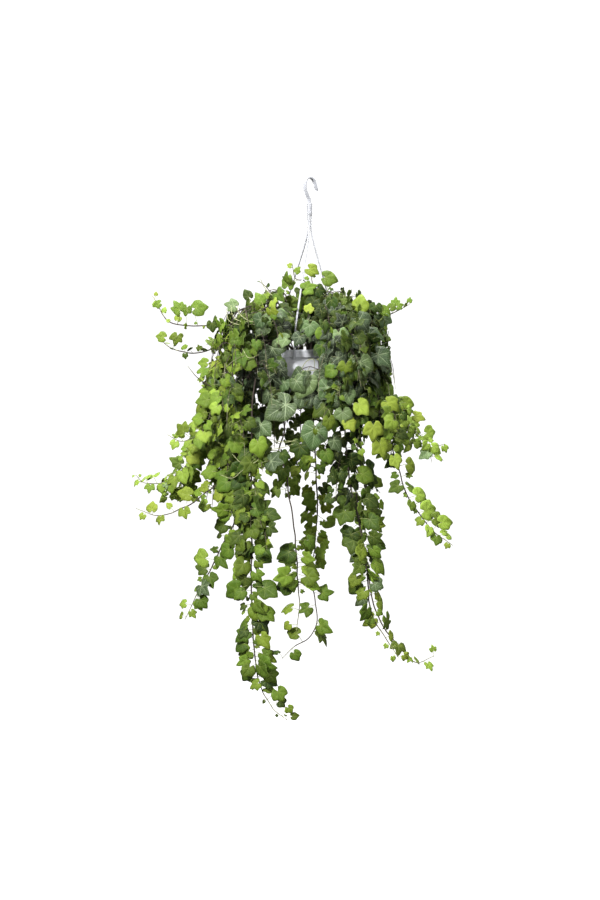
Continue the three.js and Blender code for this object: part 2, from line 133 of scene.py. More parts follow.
floor.visible_diffuse = False
floor.visible_glossy = False

surround = bpy.data.worlds.new("surround")
surround.use_nodes = True
scene.world = surround
tree = surround.node_tree
direction = add_node(tree, "TexCoord")
height = add_node(tree, "SeparateXYZ")
link(tree, direction.outputs["Generated"], height.inputs["Vector"])
sky = add_node(tree, "MapRange", From_Min=-0.35, From_Max=0.75, To_Min=SURROUND_BELOW, To_Max=SURROUND_ABOVE)
link(tree, height.outputs["Z"], sky.inputs["Value"])
seen = add_node(tree, "LightPath")
brightness = add_node(tree, "MapRange", To_Max=BACKDROP_BRIGHTNESS)
link(tree, sky.outputs["Result"], brightness.inputs["To Min"])
link(tree, seen.outputs["Is Camera Ray"], brightness.inputs["Value"])
tree.nodes["Background"].inputs["Color"].default_value = (1, 1, 1, 1)
link(tree, brightness.outputs["Result"], tree.nodes["Background"].inputs["Strength"])

for name, lamp in LAMPS.items():
    lamp_data = bpy.data.lights.new(name, "AREA")
    lamp_data.shape = "DISK"
    lamp_data.size = lamp["size"]
    lamp_data.energy = lamp["watts"]
    lamp_object = bpy.data.objects.new(name, lamp_data)
    lamp_object.location = lamp["at"]
    aim = VIEW_CENTRE - Vector(lamp["at"])
    lamp_object.rotation_euler = aim.to_track_quat("-Z", "Y").to_euler()
    scene.collection.objects.link(lamp_object)


# Pot. An injection-moulded polypropylene hanging pot, 17 cm across: a tapered wall, a stepped-out rim
# band with a rolled lip, a foot ring, and five drain holes. It is satin, bluish white and a little dusty.
POT_AXIS_X = -0.014
RIM_RADIUS = 0.085
RIM_TOP_Z = -0.390
RIM_BAND_HEIGHT = 0.017
BODY_TOP_RADIUS = 0.079
BASE_RADIUS = 0.060
POT_HEIGHT = 0.125
POT_WALL = 0.0012
DRAIN_HOLES = 5
DRAIN_HOLE_RADIUS = 0.005
POT_COLOUR = (0.74, 0.76, 0.80, 1)
POT_DUST_COLOUR = (0.33, 0.30, 0.25, 1)


def around_pot(radius, angle_deg, z):
    turn = math.radians(angle_deg)
    return Vector((POT_AXIS_X + radius * math.sin(turn), -radius * math.cos(turn), z))


def add_piece(name, mesh, material, slot_name, *nodes):
    """Puts a finished mesh into the scene as a piece that rides on the body and stands for CAD nodes."""
    mesh.materials.clear()
    mesh.materials.append(material)
    piece = bpy.data.objects.new(name, mesh)
    scene.collection.objects.link(piece)
    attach(piece, "root")
    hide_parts(*nodes)
    return piece


def turned_mesh(name, profile, segments, axis_x):
    """A closed body of revolution about an upright axis. The profile starts and ends on the axis."""
    bm = bmesh.new()
    rings = []
    for radius, z in profile:
        if radius < 1e-6:
            rings.append([bm.verts.new((axis_x, 0, z))])
            continue
        turns = [2 * math.pi * i / segments for i in range(segments)]
        rings.append([bm.verts.new((axis_x + radius * math.sin(t), -radius * math.cos(t), z)) for t in turns])
    for low, high in zip(rings, rings[1:]):
        for i in range(segments):
            j = (i + 1) % segments
            corners = [low[i % len(low)], low[j % len(low)], high[j % len(high)], high[i % len(high)]]
            bm.faces.new(list(dict.fromkeys(corners)))
    bmesh.ops.recalc_face_normals(bm, faces=bm.faces)
    mesh = bpy.data.meshes.new(name)
    bm.to_mesh(mesh)
    bm.free()
    mesh.polygons.foreach_set("use_smooth", [True] * len(mesh.polygons))
    return mesh


def cut_away(mesh, tool_mesh):
    """The mesh with a tool's volume cut out of it."""
    work = bpy.data.objects.new("work", mesh)
    tool = bpy.data.objects.new("tool", tool_mesh)
    scene.collection.objects.link(work)
    scene.collection.objects.link(tool)
    cut = work.modifiers.new("cut", "BOOLEAN")
    cut.operation = "DIFFERENCE"
    cut.solver = "EXACT"
    cut.object = tool
    graph = bpy.context.evaluated_depsgraph_get()
    result = bpy.data.meshes.new_from_object(work.evaluated_get(graph))
    bpy.data.objects.remove(work)
    bpy.data.objects.remove(tool)
    return result


def maths(tree, operation, *values):
    """The result of a maths node. Each value is a socket or a number."""
    node = add_node(tree, "Math", operation=operation)
    for socket, value in zip(node.inputs, values):
        if isinstance(value, (int, float)):
            socket.default_value = value
        else:
            link(tree, value, socket)
    return node.outputs["Value"]


def mapped(tree, value, **limits):
    """A value carried over from one range to another."""
    node = add_node(tree, "MapRange", **limits)
    link(tree, value, node.inputs["Value"])
    return node.outputs["Result"]


def mixed_colour(tree, factor, first, second):
    """A colour mix. Each colour is a socket, or a fixed colour."""
    mix = add_node(tree, "Mix", data_type="RGBA")
    for socket, value in ((mix.inputs["Factor"], factor), (mix.inputs[6], first), (mix.inputs[7], second)):
        if isinstance(value, (tuple, float, int)):
            socket.default_value = value
        else:
            link(tree, value, socket)
    return mix.outputs[2]


def add_bump(tree, shader, height, strength, distance):
    bump = add_node(tree, "Bump", Strength=strength, Distance=distance)
    link(tree, height, bump.inputs["Height"])
    link(tree, bump.outputs["Normal"], shader.inputs["Normal"])


def moulded_plastic_group():
    """Moulded plastic: a faint cloudy shade, fine pitting, and dust that lies in patches."""
    group = bpy.data.node_groups.new("moulded_plastic", "ShaderNodeTree")
    taken = {"Colour": "Color", "Dust Colour": "Color", "Dust": "Float", "Roughness": "Float"}
    for socket, kind in taken.items():
        group.interface.new_socket(socket, in_out="INPUT", socket_type="NodeSocket" + kind)
    returned = {"Colour": "Color", "Roughness": "Float", "Height": "Float"}
    for socket, kind in returned.items():
        group.interface.new_socket(socket, in_out="OUTPUT", socket_type="NodeSocket" + kind)
    given = group.nodes.new("NodeGroupInput")
    out = group.nodes.new("NodeGroupOutput")
    place = add_node(group, "TexCoord")
    cloud = add_node(group, "TexNoise", Scale=14.0, Detail=5.0)
    patch = add_node(group, "TexNoise", Scale=60.0, Detail=8.0, Roughness=0.7)
    pits = add_node(group, "TexNoise", Scale=900.0, Detail=2.0)
    for texture in (cloud, patch, pits):
        link(group, place.outputs["Object"], texture.inputs["Vector"])
    shade = mapped(group, cloud.outputs["Fac"], From_Min=0.3, From_Max=0.7, To_Min=0.93, To_Max=1.04)
    clean = add_node(group, "VectorMath", operation="SCALE")
    link(group, given.outputs["Colour"], clean.inputs[0])
    link(group, shade, clean.inputs["Scale"])
    spread = mapped(group, patch.outputs["Fac"], From_Min=0.48, From_Max=0.72)
    dusty = maths(group, "MULTIPLY", spread, given.outputs["Dust"])
    mixed = mixed_colour(group, dusty, clean.outputs["Vector"], given.outputs["Dust Colour"])
    dulled = maths(group, "MULTIPLY_ADD", dusty, 0.5, given.outputs["Roughness"])
    link(group, mixed, out.inputs["Colour"])
    link(group, dulled, out.inputs["Roughness"])
    link(group, pits.outputs["Fac"], out.inputs["Height"])
    return group


moulded_plastic = moulded_plastic_group()


def plastic_material(name, colour, dust_colour, dust, roughness, pit_depth):
    material, tree, shader = new_material(name)
    effect = tree.nodes.new("ShaderNodeGroup")
    effect.node_tree = moulded_plastic
    effect.inputs["Colour"].default_value = colour
    effect.inputs["Dust Colour"].default_value = dust_colour
    effect.inputs["Dust"].default_value = dust
    effect.inputs["Roughness"].default_value = roughness
    link(tree, effect.outputs["Colour"], shader.inputs["Base Color"])
    link(tree, effect.outputs["Roughness"], shader.inputs["Roughness"])
    add_bump(tree, shader, effect.outputs["Height"], 0.25, pit_depth)
    shader.inputs["IOR"].default_value = 1.49
    return material


def arc_profile(centre_radius, centre_z, radius, start_deg, end_deg, steps):
    """Points of a round stretch of a turned profile, by angle from outwards towards up."""
    turns = [math.radians(start_deg + (end_deg - start_deg) * i / steps) for i in range(steps + 1)]
    return [(centre_radius + radius * math.cos(t), centre_z + radius * math.sin(t)) for t in turns]


pot_base_z = RIM_TOP_Z - POT_HEIGHT
band_bottom_z = RIM_TOP_Z - RIM_BAND_HEIGHT
lip_radius = POT_WALL / 2
groove_z = RIM_TOP_Z - 0.45 * RIM_BAND_HEIGHT
pot_profile = [
    (0, pot_base_z + 0.002),
    (BASE_RADIUS - 0.008, pot_base_z + 0.002),
    (BASE_RADIUS - 0.006, pot_base_z),
    *arc_profile(BASE_RADIUS - 0.002, pot_base_z + 0.002, 0.002, -90, 0, 4),
    (BODY_TOP_RADIUS - 0.0003, band_bottom_z - 0.0006),
    (BODY_TOP_RADIUS + 0.0006, band_bottom_z),
    (RIM_RADIUS - 0.0004, band_bottom_z),
    (RIM_RADIUS, band_bottom_z + 0.0004),
    (RIM_RADIUS, groove_z - 0.0008),
    (RIM_RADIUS - 0.0005, groove_z - 0.0004),
    (RIM_RADIUS - 0.0005, groove_z + 0.0004),
    (RIM_RADIUS, groove_z + 0.0008),
    (RIM_RADIUS, RIM_TOP_Z - lip_radius),
    *arc_profile(RIM_RADIUS - lip_radius, RIM_TOP_Z - lip_radius, lip_radius, 15, 180, 6),
    (RIM_RADIUS - POT_WALL, band_bottom_z + POT_WALL),
    (BODY_TOP_RADIUS - POT_WALL, band_bottom_z + POT_WALL),
    (BASE_RADIUS - POT_WALL, pot_base_z + 0.002 + POT_WALL),
    (0, pot_base_z + 0.002 + POT_WALL),
]
pot_mesh = turned_mesh("pot_wall", pot_profile, 144, POT_AXIS_X)
drill_bm = bmesh.new()
for i in range(DRAIN_HOLES):
    hole = around_pot(BASE_RADIUS * 0.62, 360 / DRAIN_HOLES * i, pot_base_z)
    bmesh.ops.create_cone(
        drill_bm,
        cap_ends=True,
        segments=32,
        radius1=DRAIN_HOLE_RADIUS,
        radius2=DRAIN_HOLE_RADIUS,
        depth=0.012,
        matrix=Matrix.Translation(hole),
    )
drill_mesh = bpy.data.meshes.new("drills")
drill_bm.to_mesh(drill_mesh)
drill_bm.free()
pot_mesh = cut_away(pot_mesh, drill_mesh)
pot_plastic = plastic_material(
    "pot_polypropylene",
    colour=POT_COLOUR,
    dust_colour=POT_DUST_COLOUR,
    dust=0.35,
    roughness=0.42,
    pit_depth=0.0002,
)
pot_mesh.set_sharp_from_angle(angle=math.radians(35))
add_piece("pot_shell", pot_mesh, pot_plastic, "pot_plastic", "pot")


# Soil. Dark potting soil that fills the pot to a finger's width below its rim, crumbly on top, with
# loose crumbs of peat, bark and a few pale grains on it. It is poured in and pressed round the roots.
SOIL_TOP_Z = RIM_TOP_Z - 0.012
SOIL_CRUMBS = 420
SOIL_GAP = 0.0005


def soil_material():
    material, tree, shader = new_material("crumbly_potting_soil")
    place = add_node(tree, "TexCoord")
    lumps = add_node(tree, "TexNoise", Scale=220.0, Detail=9.0, Roughness=0.68)
    grains = add_node(tree, "TexVoronoi", Scale=420.0)
    for texture in (lumps, grains):
        link(tree, place.outputs["Object"], texture.inputs["Vector"])
    earth = add_node(tree, "ValToRGB")
    earth.color_ramp.elements[0].position = 0.3
    earth.color_ramp.elements[0].color = (0.012, 0.008, 0.005, 1)
    earth.color_ramp.elements[1].position = 0.72
    earth.color_ramp.elements[1].color = (0.10, 0.066, 0.038, 1)
    link(tree, lumps.outputs["Fac"], earth.inputs["Fac"])
    grain_tone = add_node(tree, "SeparateColor")
    link(tree, grains.outputs["Color"], grain_tone.inputs["Color"])
    pale = mapped(tree, grain_tone.outputs["Red"], From_Min=0.93, From_Max=0.97)
    mixed = mixed_colour(tree, pale, earth.outputs["Color"], (0.42, 0.38, 0.31, 1))
    link(tree, mixed, shader.inputs["Base Color"])
    shader.inputs["Roughness"].default_value = 0.95
    add_bump(tree, shader, lumps.outputs["Fac"], 0.9, 0.0012)
    return material


soil_inset = POT_WALL + SOIL_GAP
soil_floor_z = pot_base_z + 0.002 + POT_WALL + SOIL_GAP
soil_ledge_z = band_bottom_z + POT_WALL + SOIL_GAP
soil_rings = 14
soil_top = [
    ((RIM_RADIUS - soil_inset - 0.001) * (1 - i / soil_rings), SOIL_TOP_Z) for i in range(soil_rings + 1)
]
soil_profile = [
    (0, soil_floor_z),
    (BASE_RADIUS - soil_inset, soil_floor_z),
    (BODY_TOP_RADIUS - soil_inset, soil_ledge_z),
    (RIM_RADIUS - soil_inset, soil_ledge_z),
    (RIM_RADIUS - soil_inset, SOIL_TOP_Z - 0.001),
    *soil_top,
]
soil_mesh = turned_mesh("soil_ball", soil_profile, 72, POT_AXIS_X)
soil_random = random.Random(11)
soil_bm = bmesh.new()
soil_bm.from_mesh(soil_mesh)
for vert in soil_bm.verts:
    if vert.co.z > SOIL_TOP_Z - 0.0005:
        vert.co.z += soil_random.uniform(-0.0016, 0.0012)
for _ in range(SOIL_CRUMBS):
    crumb_radius = soil_random.uniform(0.0007, 0.0021)
    spot = around_pot(0.078 * math.sqrt(soil_random.random()), soil_random.uniform(0, 360), SOIL_TOP_Z)
    turned = Matrix.Rotation(soil_random.uniform(0, 6), 4, (soil_random.random(), 0.3, 0.8))
    flat = Matrix.Diagonal((1, soil_random.uniform(0.6, 1), soil_random.uniform(0.45, 0.9), 1))
    crumb = bmesh.ops.create_icosphere(
        soil_bm, subdivisions=1, radius=crumb_radius, matrix=Matrix.Translation(spot) @ turned @ flat
    )
    for vert in crumb["verts"]:
        vert.co += Vector([soil_random.uniform(-0.2, 0.2) * crumb_radius for _ in range(3)])
soil_bm.to_mesh(soil_mesh)
soil_bm.free()
add_piece("soil_ball", soil_mesh, soil_material(), "potting_soil", "soil")


# Hook. The moulded polypropylene hanger's top: a strap of I section bent into a hook, with a rounded
# end, that runs down into a ribbed collar. Hook, shank and collar are one moulding.
HOOK_TURN_DEG = 40
STRAP_WIDTH = 0.009
STRAP_THICKNESS = 0.0036
WEB_THICKNESS = 0.0014
FLANGE_WIDTH = 0.0016
COLLAR_TOP_Z = -0.055
COLLAR_HEIGHT = 0.028
COLLAR_RADIUS = 0.0062
COLLAR_RIBS = 6
HANGER_COLOUR = (0.50, 0.51, 0.545, 1)
HANGER_DUST_COLOUR = (0.33, 0.32, 0.29, 1)


def curve_point(route, step):
    """A smooth line through a route, as points about one step apart: centripetal, like the CAD model's."""
    given = [np.array(p, float) for p in route]
    knots = [2 * given[0] - given[1], *given, 2 * given[-1] - given[-2]]
    line = []
    for p0, p1, p2, p3 in zip(knots, knots[1:], knots[2:], knots[3:]):
        gap = [math.sqrt(max(np.linalg.norm(b - a), 1e-9)) for a, b in ((p0, p1), (p1, p2), (p2, p3))]
        lead = (p1 - p0) / gap[0] - (p2 - p0) / (gap[0] + gap[1]) + (p2 - p1) / gap[1]
        leave = (p2 - p1) / gap[1] - (p3 - p1) / (gap[1] + gap[2]) + (p3 - p2) / gap[2]
        lead, leave = lead * gap[1], leave * gap[1]
        for t in np.linspace(0, 1, 24, endpoint=False):
            cubic = 2 * p1 - 2 * p2 + lead + leave
            square = -3 * p1 + 3 * p2 - 2 * lead - leave
            line.append(cubic * t**3 + square * t**2 + lead * t + p1)
    line.append(given[-1])
    line = np.array(line)
    run = np.concatenate([[0], np.cumsum(np.linalg.norm(np.diff(line, axis=0), axis=1))])
    count = max(3, round(run[-1] / step) + 1)
    wanted = np.linspace(0, run[-1], count)
    return np.stack([np.interp(wanted, run, line[:, k]) for k in range(3)], axis=1)


def swept_strap(bm, line, section, width_way, taper=None):
    """Sweeps a closed section, given as (across the strap, through it), along a line that lies in a plane."""
    ways = np.gradient(line, axis=0)
    ways /= np.linalg.norm(ways, axis=1)[:, None]
    rings = []
    for i, (at, way) in enumerate(zip(line, ways)):
        through = np.cross(width_way, way)
        size = taper[i] if taper is not None else (1, 1)
        ring = []
        for across, depth in section:
            ring.append(bm.verts.new(at + width_way * across * size[0] + through * depth * size[1]))
        rings.append(ring)
    for near, far in zip(rings, rings[1:]):
        for i in range(len(section)):
            j = (i + 1) % len(section)
            bm.faces.new((near[i], near[j], far[j], far[i]))
    bm.faces.new(rings[0][::-1])
    bm.faces.new(rings[-1])


hook_line = [
    (0, 0, -0.060), (-0.0015, 0, -0.047), (-0.0075, 0, -0.037), (-0.0125, 0, -0.025), (-0.0126, 0, -0.011),
    (-0.0075, 0, -0.0012), (0.001, 0, 0.0018), (0.010, 0, -0.001), (0.0155, 0, -0.009), (0.0185, 0, -0.018),
    (0.0225, 0, -0.026),
]
half_width = STRAP_WIDTH / 2
half_thick = STRAP_THICKNESS / 2
half_web = WEB_THICKNESS / 2
flange_in = half_width - FLANGE_WIDTH
i_section = [
    (half_width - 0.0004, -half_thick), (half_width, -half_thick + 0.0004),
    (half_width, half_thick - 0.0004), (half_width - 0.0004, half_thick),
    (flange_in + 0.0003, half_thick), (flange_in, half_thick - 0.0005),
    (flange_in - 0.0003, half_web), (-flange_in + 0.0003, half_web),
    (-flange_in, half_thick - 0.0005), (-flange_in - 0.0003, half_thick),
    (-half_width + 0.0004, half_thick), (-half_width, half_thick - 0.0004),
    (-half_width, -half_thick + 0.0004), (-half_width + 0.0004, -half_thick),
    (-flange_in - 0.0003, -half_thick), (-flange_in, -half_thick + 0.0005),
    (-flange_in + 0.0003, -half_web), (flange_in - 0.0003, -half_web),
    (flange_in, -half_thick + 0.0005), (flange_in + 0.0003, -half_thick),
]
hook_points = curve_point(hook_line, 0.0012)
end_points = 5
hook_taper = [(1, 1)] * (len(hook_points) - end_points)
for i in range(end_points):
    round_end = math.sqrt(1 - ((i + 1) / (end_points + 0.3)) ** 2)
    hook_taper.append((round_end, max(0.5, round_end)))
hook_bm = bmesh.new()
swept_strap(hook_bm, hook_points, i_section, np.array([0.0, 1.0, 0.0]), hook_taper)
hook_turn = Matrix.Rotation(math.radians(HOOK_TURN_DEG), 3, "Z")
bmesh.ops.rotate(hook_bm, verts=hook_bm.verts, cent=(0, 0, 0), matrix=hook_turn)
collar_profile = [
    (0, COLLAR_TOP_Z),
    (COLLAR_RADIUS * 0.72, COLLAR_TOP_Z),
    (COLLAR_RADIUS * 0.86, COLLAR_TOP_Z - 0.001),
]
rib_pitch = (COLLAR_HEIGHT - 0.004) / COLLAR_RIBS
for i in range(COLLAR_RIBS):
    rib_top = COLLAR_TOP_Z - 0.002 - rib_pitch * i
    collar_profile += [
        (COLLAR_RADIUS * 0.9, rib_top),
        (COLLAR_RADIUS, rib_top - 0.25 * rib_pitch),
        (COLLAR_RADIUS, rib_top - 0.6 * rib_pitch),
        (COLLAR_RADIUS * 0.9, rib_top - 0.85 * rib_pitch),
    ]
collar_profile += [
    (COLLAR_RADIUS * 0.86, COLLAR_TOP_Z - COLLAR_HEIGHT + 0.0008),
    (COLLAR_RADIUS * 0.75, COLLAR_TOP_Z - COLLAR_HEIGHT),
    (0, COLLAR_TOP_Z - COLLAR_HEIGHT),
]
hook_bm.from_mesh(turned_mesh("collar", collar_profile, 40, 0))
bmesh.ops.recalc_face_normals(hook_bm, faces=hook_bm.faces)
hook_mesh = bpy.data.meshes.new("hook_and_collar")
hook_bm.to_mesh(hook_mesh)
hook_bm.free()
hook_mesh.polygons.foreach_set("use_smooth", [True] * len(hook_mesh.polygons))
hook_mesh.set_sharp_from_angle(angle=math.radians(40))
hanger_plastic = plastic_material(
    "hanger_polypropylene",
    colour=HANGER_COLOUR,
    dust_colour=HANGER_DUST_COLOUR,
    dust=0.12,
    roughness=0.34,
    pit_depth=0.0001,
)
add_piece("hook_and_collar", hook_mesh, hanger_plastic, "hanger_plastic", "hanger_hook")


# Legs. Three flexible straps of the same moulding run down together from the collar, fan out, and each
# ends in a ribbed clip that hooks under the pot's rim band.
LEG_WIDTH = 0.004
LEG_THICKNESS = 0.0024
LEG_BUNDLE_RADIUS = 0.0041
LEG_FAN_Z = -0.118
CLIP_WIDTH = 0.007
CLIP_FOOT = 0.005
LEG_GAP = 0.00035
LEG_ANGLES_DEG = {"front": -13, "right": 107, "left": -133}


def rounded_box(bm, low, high, bevel):
    """A box with rounded edges between two corners."""
    low, high = Vector(low), Vector(high)
    size = high - low
    made = bmesh.ops.create_cube(
        bm, size=1, matrix=Matrix.Translation((low + high) / 2) @ Matrix.Diagonal((*size, 1))
    )
    edges = list({edge for vert in made["verts"] for edge in vert.link_edges})
    bmesh.ops.bevel(bm, geom=edges, offset=bevel, segments=2, affect="EDGES")


for side, angle in LEG_ANGLES_DEG.items():
    clip = around_pot(RIM_RADIUS + LEG_GAP + LEG_THICKNESS / 2 + 0.0003, angle, 0)
    reach = math.hypot(clip.x, clip.y)
    leg_foot = band_bottom_z - LEG_GAP
    leg_line = curve_point(
        [
            (LEG_BUNDLE_RADIUS, 0, COLLAR_TOP_Z - COLLAR_HEIGHT - LEG_GAP),
            (LEG_BUNDLE_RADIUS, 0, LEG_FAN_Z),
            (LEG_BUNDLE_RADIUS + 0.42 * (reach - LEG_BUNDLE_RADIUS), 0, LEG_FAN_Z - 0.105),
            (reach - 0.007, 0, RIM_TOP_Z + 0.048),
            (reach, 0, RIM_TOP_Z + 0.004),
            (reach, 0, leg_foot),
        ],
        0.006,
    )
    half_leg, half_depth, corner = LEG_WIDTH / 2, LEG_THICKNESS / 2, 0.0006
    leg_section = [
        (half_leg - corner, -half_depth), (half_leg, -half_depth + corner), (half_leg, half_depth - corner),
        (half_leg - corner, half_depth), (-half_leg + corner, half_depth), (-half_leg, half_depth - corner),
        (-half_leg, -half_depth + corner), (-half_leg + corner, -half_depth),
    ]
    leg_bm = bmesh.new()
    swept_strap(leg_bm, leg_line, leg_section, np.array([0.0, 1.0, 0.0]))
    clip_top = leg_foot + RIM_BAND_HEIGHT - LEG_THICKNESS
    outer = reach + LEG_THICKNESS / 2 + 0.0012
    clip_low = (reach - 0.0009, -CLIP_WIDTH / 2, leg_foot - LEG_THICKNESS)
    rounded_box(leg_bm, clip_low, (outer, CLIP_WIDTH / 2, clip_top), 0.0006)
    for i in range(4):
        rib_z = leg_foot + 0.001 + 0.0034 * i
        rib_low = (outer - 0.0006, -CLIP_WIDTH * 0.4, rib_z)
        rounded_box(leg_bm, rib_low, (outer + 0.0006, CLIP_WIDTH * 0.4, rib_z + 0.0014), 0.0003)
    foot_in = reach - CLIP_FOOT
    rounded_box(
        leg_bm,
        (foot_in, -CLIP_WIDTH / 2 + 0.0005, leg_foot - LEG_THICKNESS),
        (reach, CLIP_WIDTH / 2 - 0.0005, leg_foot),
        0.0005,
    )
    leg_turn = Matrix.Rotation(math.atan2(clip.y, clip.x), 3, "Z")
    bmesh.ops.rotate(leg_bm, verts=leg_bm.verts, cent=(0, 0, 0), matrix=leg_turn)
    bmesh.ops.recalc_face_normals(leg_bm, faces=leg_bm.faces)
    leg_mesh = bpy.data.meshes.new("leg_strap_" + side)
    leg_bm.to_mesh(leg_mesh)
    leg_bm.free()
    add_piece("leg_strap_" + side, leg_mesh, hanger_plastic, "hanger_plastic", "hanger_leg_" + side)


# Ivy. English ivy, rooted in the soil: thin woody stems, brown and ridged near the root and pale green at
# the tip, bent a little at each joint, with one stalked leaf at each joint, mostly left and right in turn.
# The blade is a thin waxy skin with five lobes, raised between its veins, and paler underneath.
STEM_SIDES = 8
STEM_STEP = 0.005
STEM_TIP_SHARE = 0.42
BLADE_THICKNESS = 0.0004
STALK_SIDES = 6
STALK_STEPS = 6
STALK_RADIUS = 0.00062
LOBE_SPACING_DEG = 56
SIDE_TOP, SIDE_UNDER, SIDE_STALK = 0.0, 1.0, 2.0
LATE_LEAF_SHARE = 0.32
SIDE_CHANGE_SHARE = 0.9
HUES_PER_TONE = 53.0


class Growth:
    """Collects the points, faces and surface marks of one piece, and then makes its mesh."""

    def __init__(self):
        self.parts = []
        self.point_count = 0
        self.cells = 0

    def add(self, points, faces, side, shade_and_tone, age, rim, plane, cell):
        """faces are lists of corners; plane and cell are pairs for each corner of each face, in order."""
        self.parts.append(
            {
                "points": points,
                "corners": np.concatenate(faces) + self.point_count,
                "sizes": np.array([len(face) for face in faces]),
                "side": side,
                "shade_and_tone": np.full(len(points), shade_and_tone),
                "age": age,
                "rim": rim,
                "plane": plane,
                "cell": cell,
                "cell_index": np.full(len(cell), self.cells),
            }
        )
        self.point_count += len(points)
        self.cells += 1

    def joined(self, key):
        return np.concatenate([part[key] for part in self.parts])

    def mesh(self, name, columns):
        mesh = bpy.data.meshes.new(name)
        points = self.joined("points")
        corners = self.joined("corners")
        sizes = self.joined("sizes")
        mesh.vertices.add(len(points))
        mesh.vertices.foreach_set("co", points.astype(np.float32).ravel())
        mesh.loops.add(len(corners))
        mesh.loops.foreach_set("vertex_index", corners.astype(np.int32))
        mesh.polygons.add(len(sizes))
        starts = np.concatenate([[0], np.cumsum(sizes)[:-1]])
        mesh.polygons.foreach_set("loop_start", starts.astype(np.int32))
        mesh.update(calc_edges=True)
        mesh.polygons.foreach_set("use_smooth", [True] * len(sizes))
        # The tone mark holds painted shade and light by place, mixed with each leaf's own tone.
        for key, domain in (("shade_and_tone", "POINT"), ("age", "POINT"), ("rim", "POINT"), ("side", "FACE")):
            mark = mesh.attributes.new(key, "FLOAT", domain)
            mark.data.foreach_set("value", self.joined(key).astype(np.float32))
        rows = math.ceil(self.cells / columns)
        index = self.joined("cell_index")
        place = self.joined("cell") * 0.94 + 0.03
        sheet_u = (index % columns + place[:, 0]) / columns
        sheet_v = (index // columns + place[:, 1]) / rows
        sheet = np.stack([sheet_u, sheet_v], 1)
        mesh.uv_layers.new(name="OFBake").data.foreach_set("uv", sheet.astype(np.float32).ravel())
        plane = self.joined("plane")
        mesh.uv_layers.new(name="blade_plane").data.foreach_set("uv", plane.astype(np.float32).ravel())
        return mesh


def tube_faces(sides, rings):
    """The faces of a closed tube whose points run ring by ring, with an end cap at each end."""
    faces = []
    for ring in range(rings - 1):
        for i in range(sides):
            j = (i + 1) % sides
            near, far = ring * sides, (ring + 1) * sides
            faces.append(np.array([near + i, near + j, far + j, far + i]))
    faces.append(np.arange(sides)[::-1])
    faces.append(np.arange(sides) + (rings - 1) * sides)
    return faces


def tube_points(line, radii, sides):
    """The points of a round tube along a line, ring by ring, carried along without twisting."""
    ways = np.gradient(line, axis=0)
    ways /= np.maximum(np.linalg.norm(ways, axis=1), 1e-9)[:, None]
    across = np.cross(ways[0], (0.31, 0.52, 0.79))
    turns = np.arange(sides) * 2 * math.pi / sides
    rings = []
    for at, way, radius in zip(line, ways, radii):
        across = across - way * across.dot(way)
        across /= np.linalg.norm(across)
        through = np.cross(way, across)
        rings.append(at + radius * (np.outer(np.cos(turns), across) + np.outer(np.sin(turns), through)))
    return np.concatenate(rings)


def tube_cells(sides, rings):
    """For each corner of a tube's faces, its place along and around the tube, both from 0 to 1."""
    cells = []
    for ring in range(rings - 1):
        near, far = ring / (rings - 1), (ring + 1) / (rings - 1)
        for i in range(sides):
            low, high = i / sides, (i + 1) / sides
            cells += [(near, low), (near, high), (far, high), (far, low)]
    cells += [(0.0, i / sides) for i in range(sides)] + [(1.0, i / sides) for i in range(sides)]
    return np.array(cells)


def add_stem(growth, line, radii, ages, shade_and_tone):
    cells = tube_cells(STEM_SIDES, len(line))
    points = tube_points(line, radii, STEM_SIDES)
    faces = tube_faces(STEM_SIDES, len(line))
    side = np.full(len(faces), SIDE_STALK)
    age = np.repeat(ages, STEM_SIDES)
    length = len(line) * STEM_STEP
    growth.add(points, faces, side, shade_and_tone, age, np.zeros(len(points)), cells * (length, 0.02), cells)


def blade_outline(rng, steps):
    """Directions and reaches of an ivy leaf's edge about the end of its stalk, as shares of its length: a
    pointed lobe at the tip, one at each side and one at each side of the stalk, with rounded bays between."""
    lobed = rng.uniform(0.0, 0.9)
    wide = rng.uniform(0.84, 1.14)
    halves = []
    for _ in range(2):
        side_lobe = rng.uniform(0.70, 0.84) * wide
        base_lobe = rng.uniform(0.50, 0.64) * wide
        marks = [
            (0, 1.0, "lobe"),
            (rng.uniform(27, 34), 0.74 - 0.22 * lobed, "bay"),
            (LOBE_SPACING_DEG + rng.uniform(-4, 5), side_lobe, "lobe"),
            (rng.uniform(82, 90), side_lobe - 0.07 - 0.19 * lobed, "bay"),
            (2 * LOBE_SPACING_DEG + rng.uniform(0, 9), base_lobe, "lobe"),
            (176, 0.10, "bay"),
        ]
        turns, reaches = [], []
        for (turn_a, reach_a, kind_a), (turn_b, reach_b, _) in zip(marks, marks[1:]):
            for k in range(steps):
                share = k / steps
                turns.append(turn_a + (turn_b - turn_a) * share)
                from_lobe = share if kind_a == "lobe" else 1 - share
                lobe, bay = (reach_a, reach_b) if kind_a == "lobe" else (reach_b, reach_a)
                pointed = (1 - from_lobe) ** 1.3
                rounded = 1 - from_lobe * from_lobe * (3 - 2 * from_lobe)
                if turn_b > 170:
                    pointed = rounded = (1 - from_lobe**2) ** 0.6
                point = 0.8 if turn_a == 0 else 0.5
                reaches.append(bay + (lobe - bay) * (point * pointed + (1 - point) * rounded))
        turns.append(marks[-1][0])
        reaches.append(marks[-1][1])
        halves.append((np.radians(turns), np.array(reaches)))
    (right_turns, right_reaches), (left_turns, left_reaches) = halves
    turns = np.concatenate([right_turns, 2 * math.pi - left_turns[:0:-1]])
    reaches = np.concatenate([right_reaches, left_reaches[:0:-1]])
    return turns, reaches


blade_nets = {}


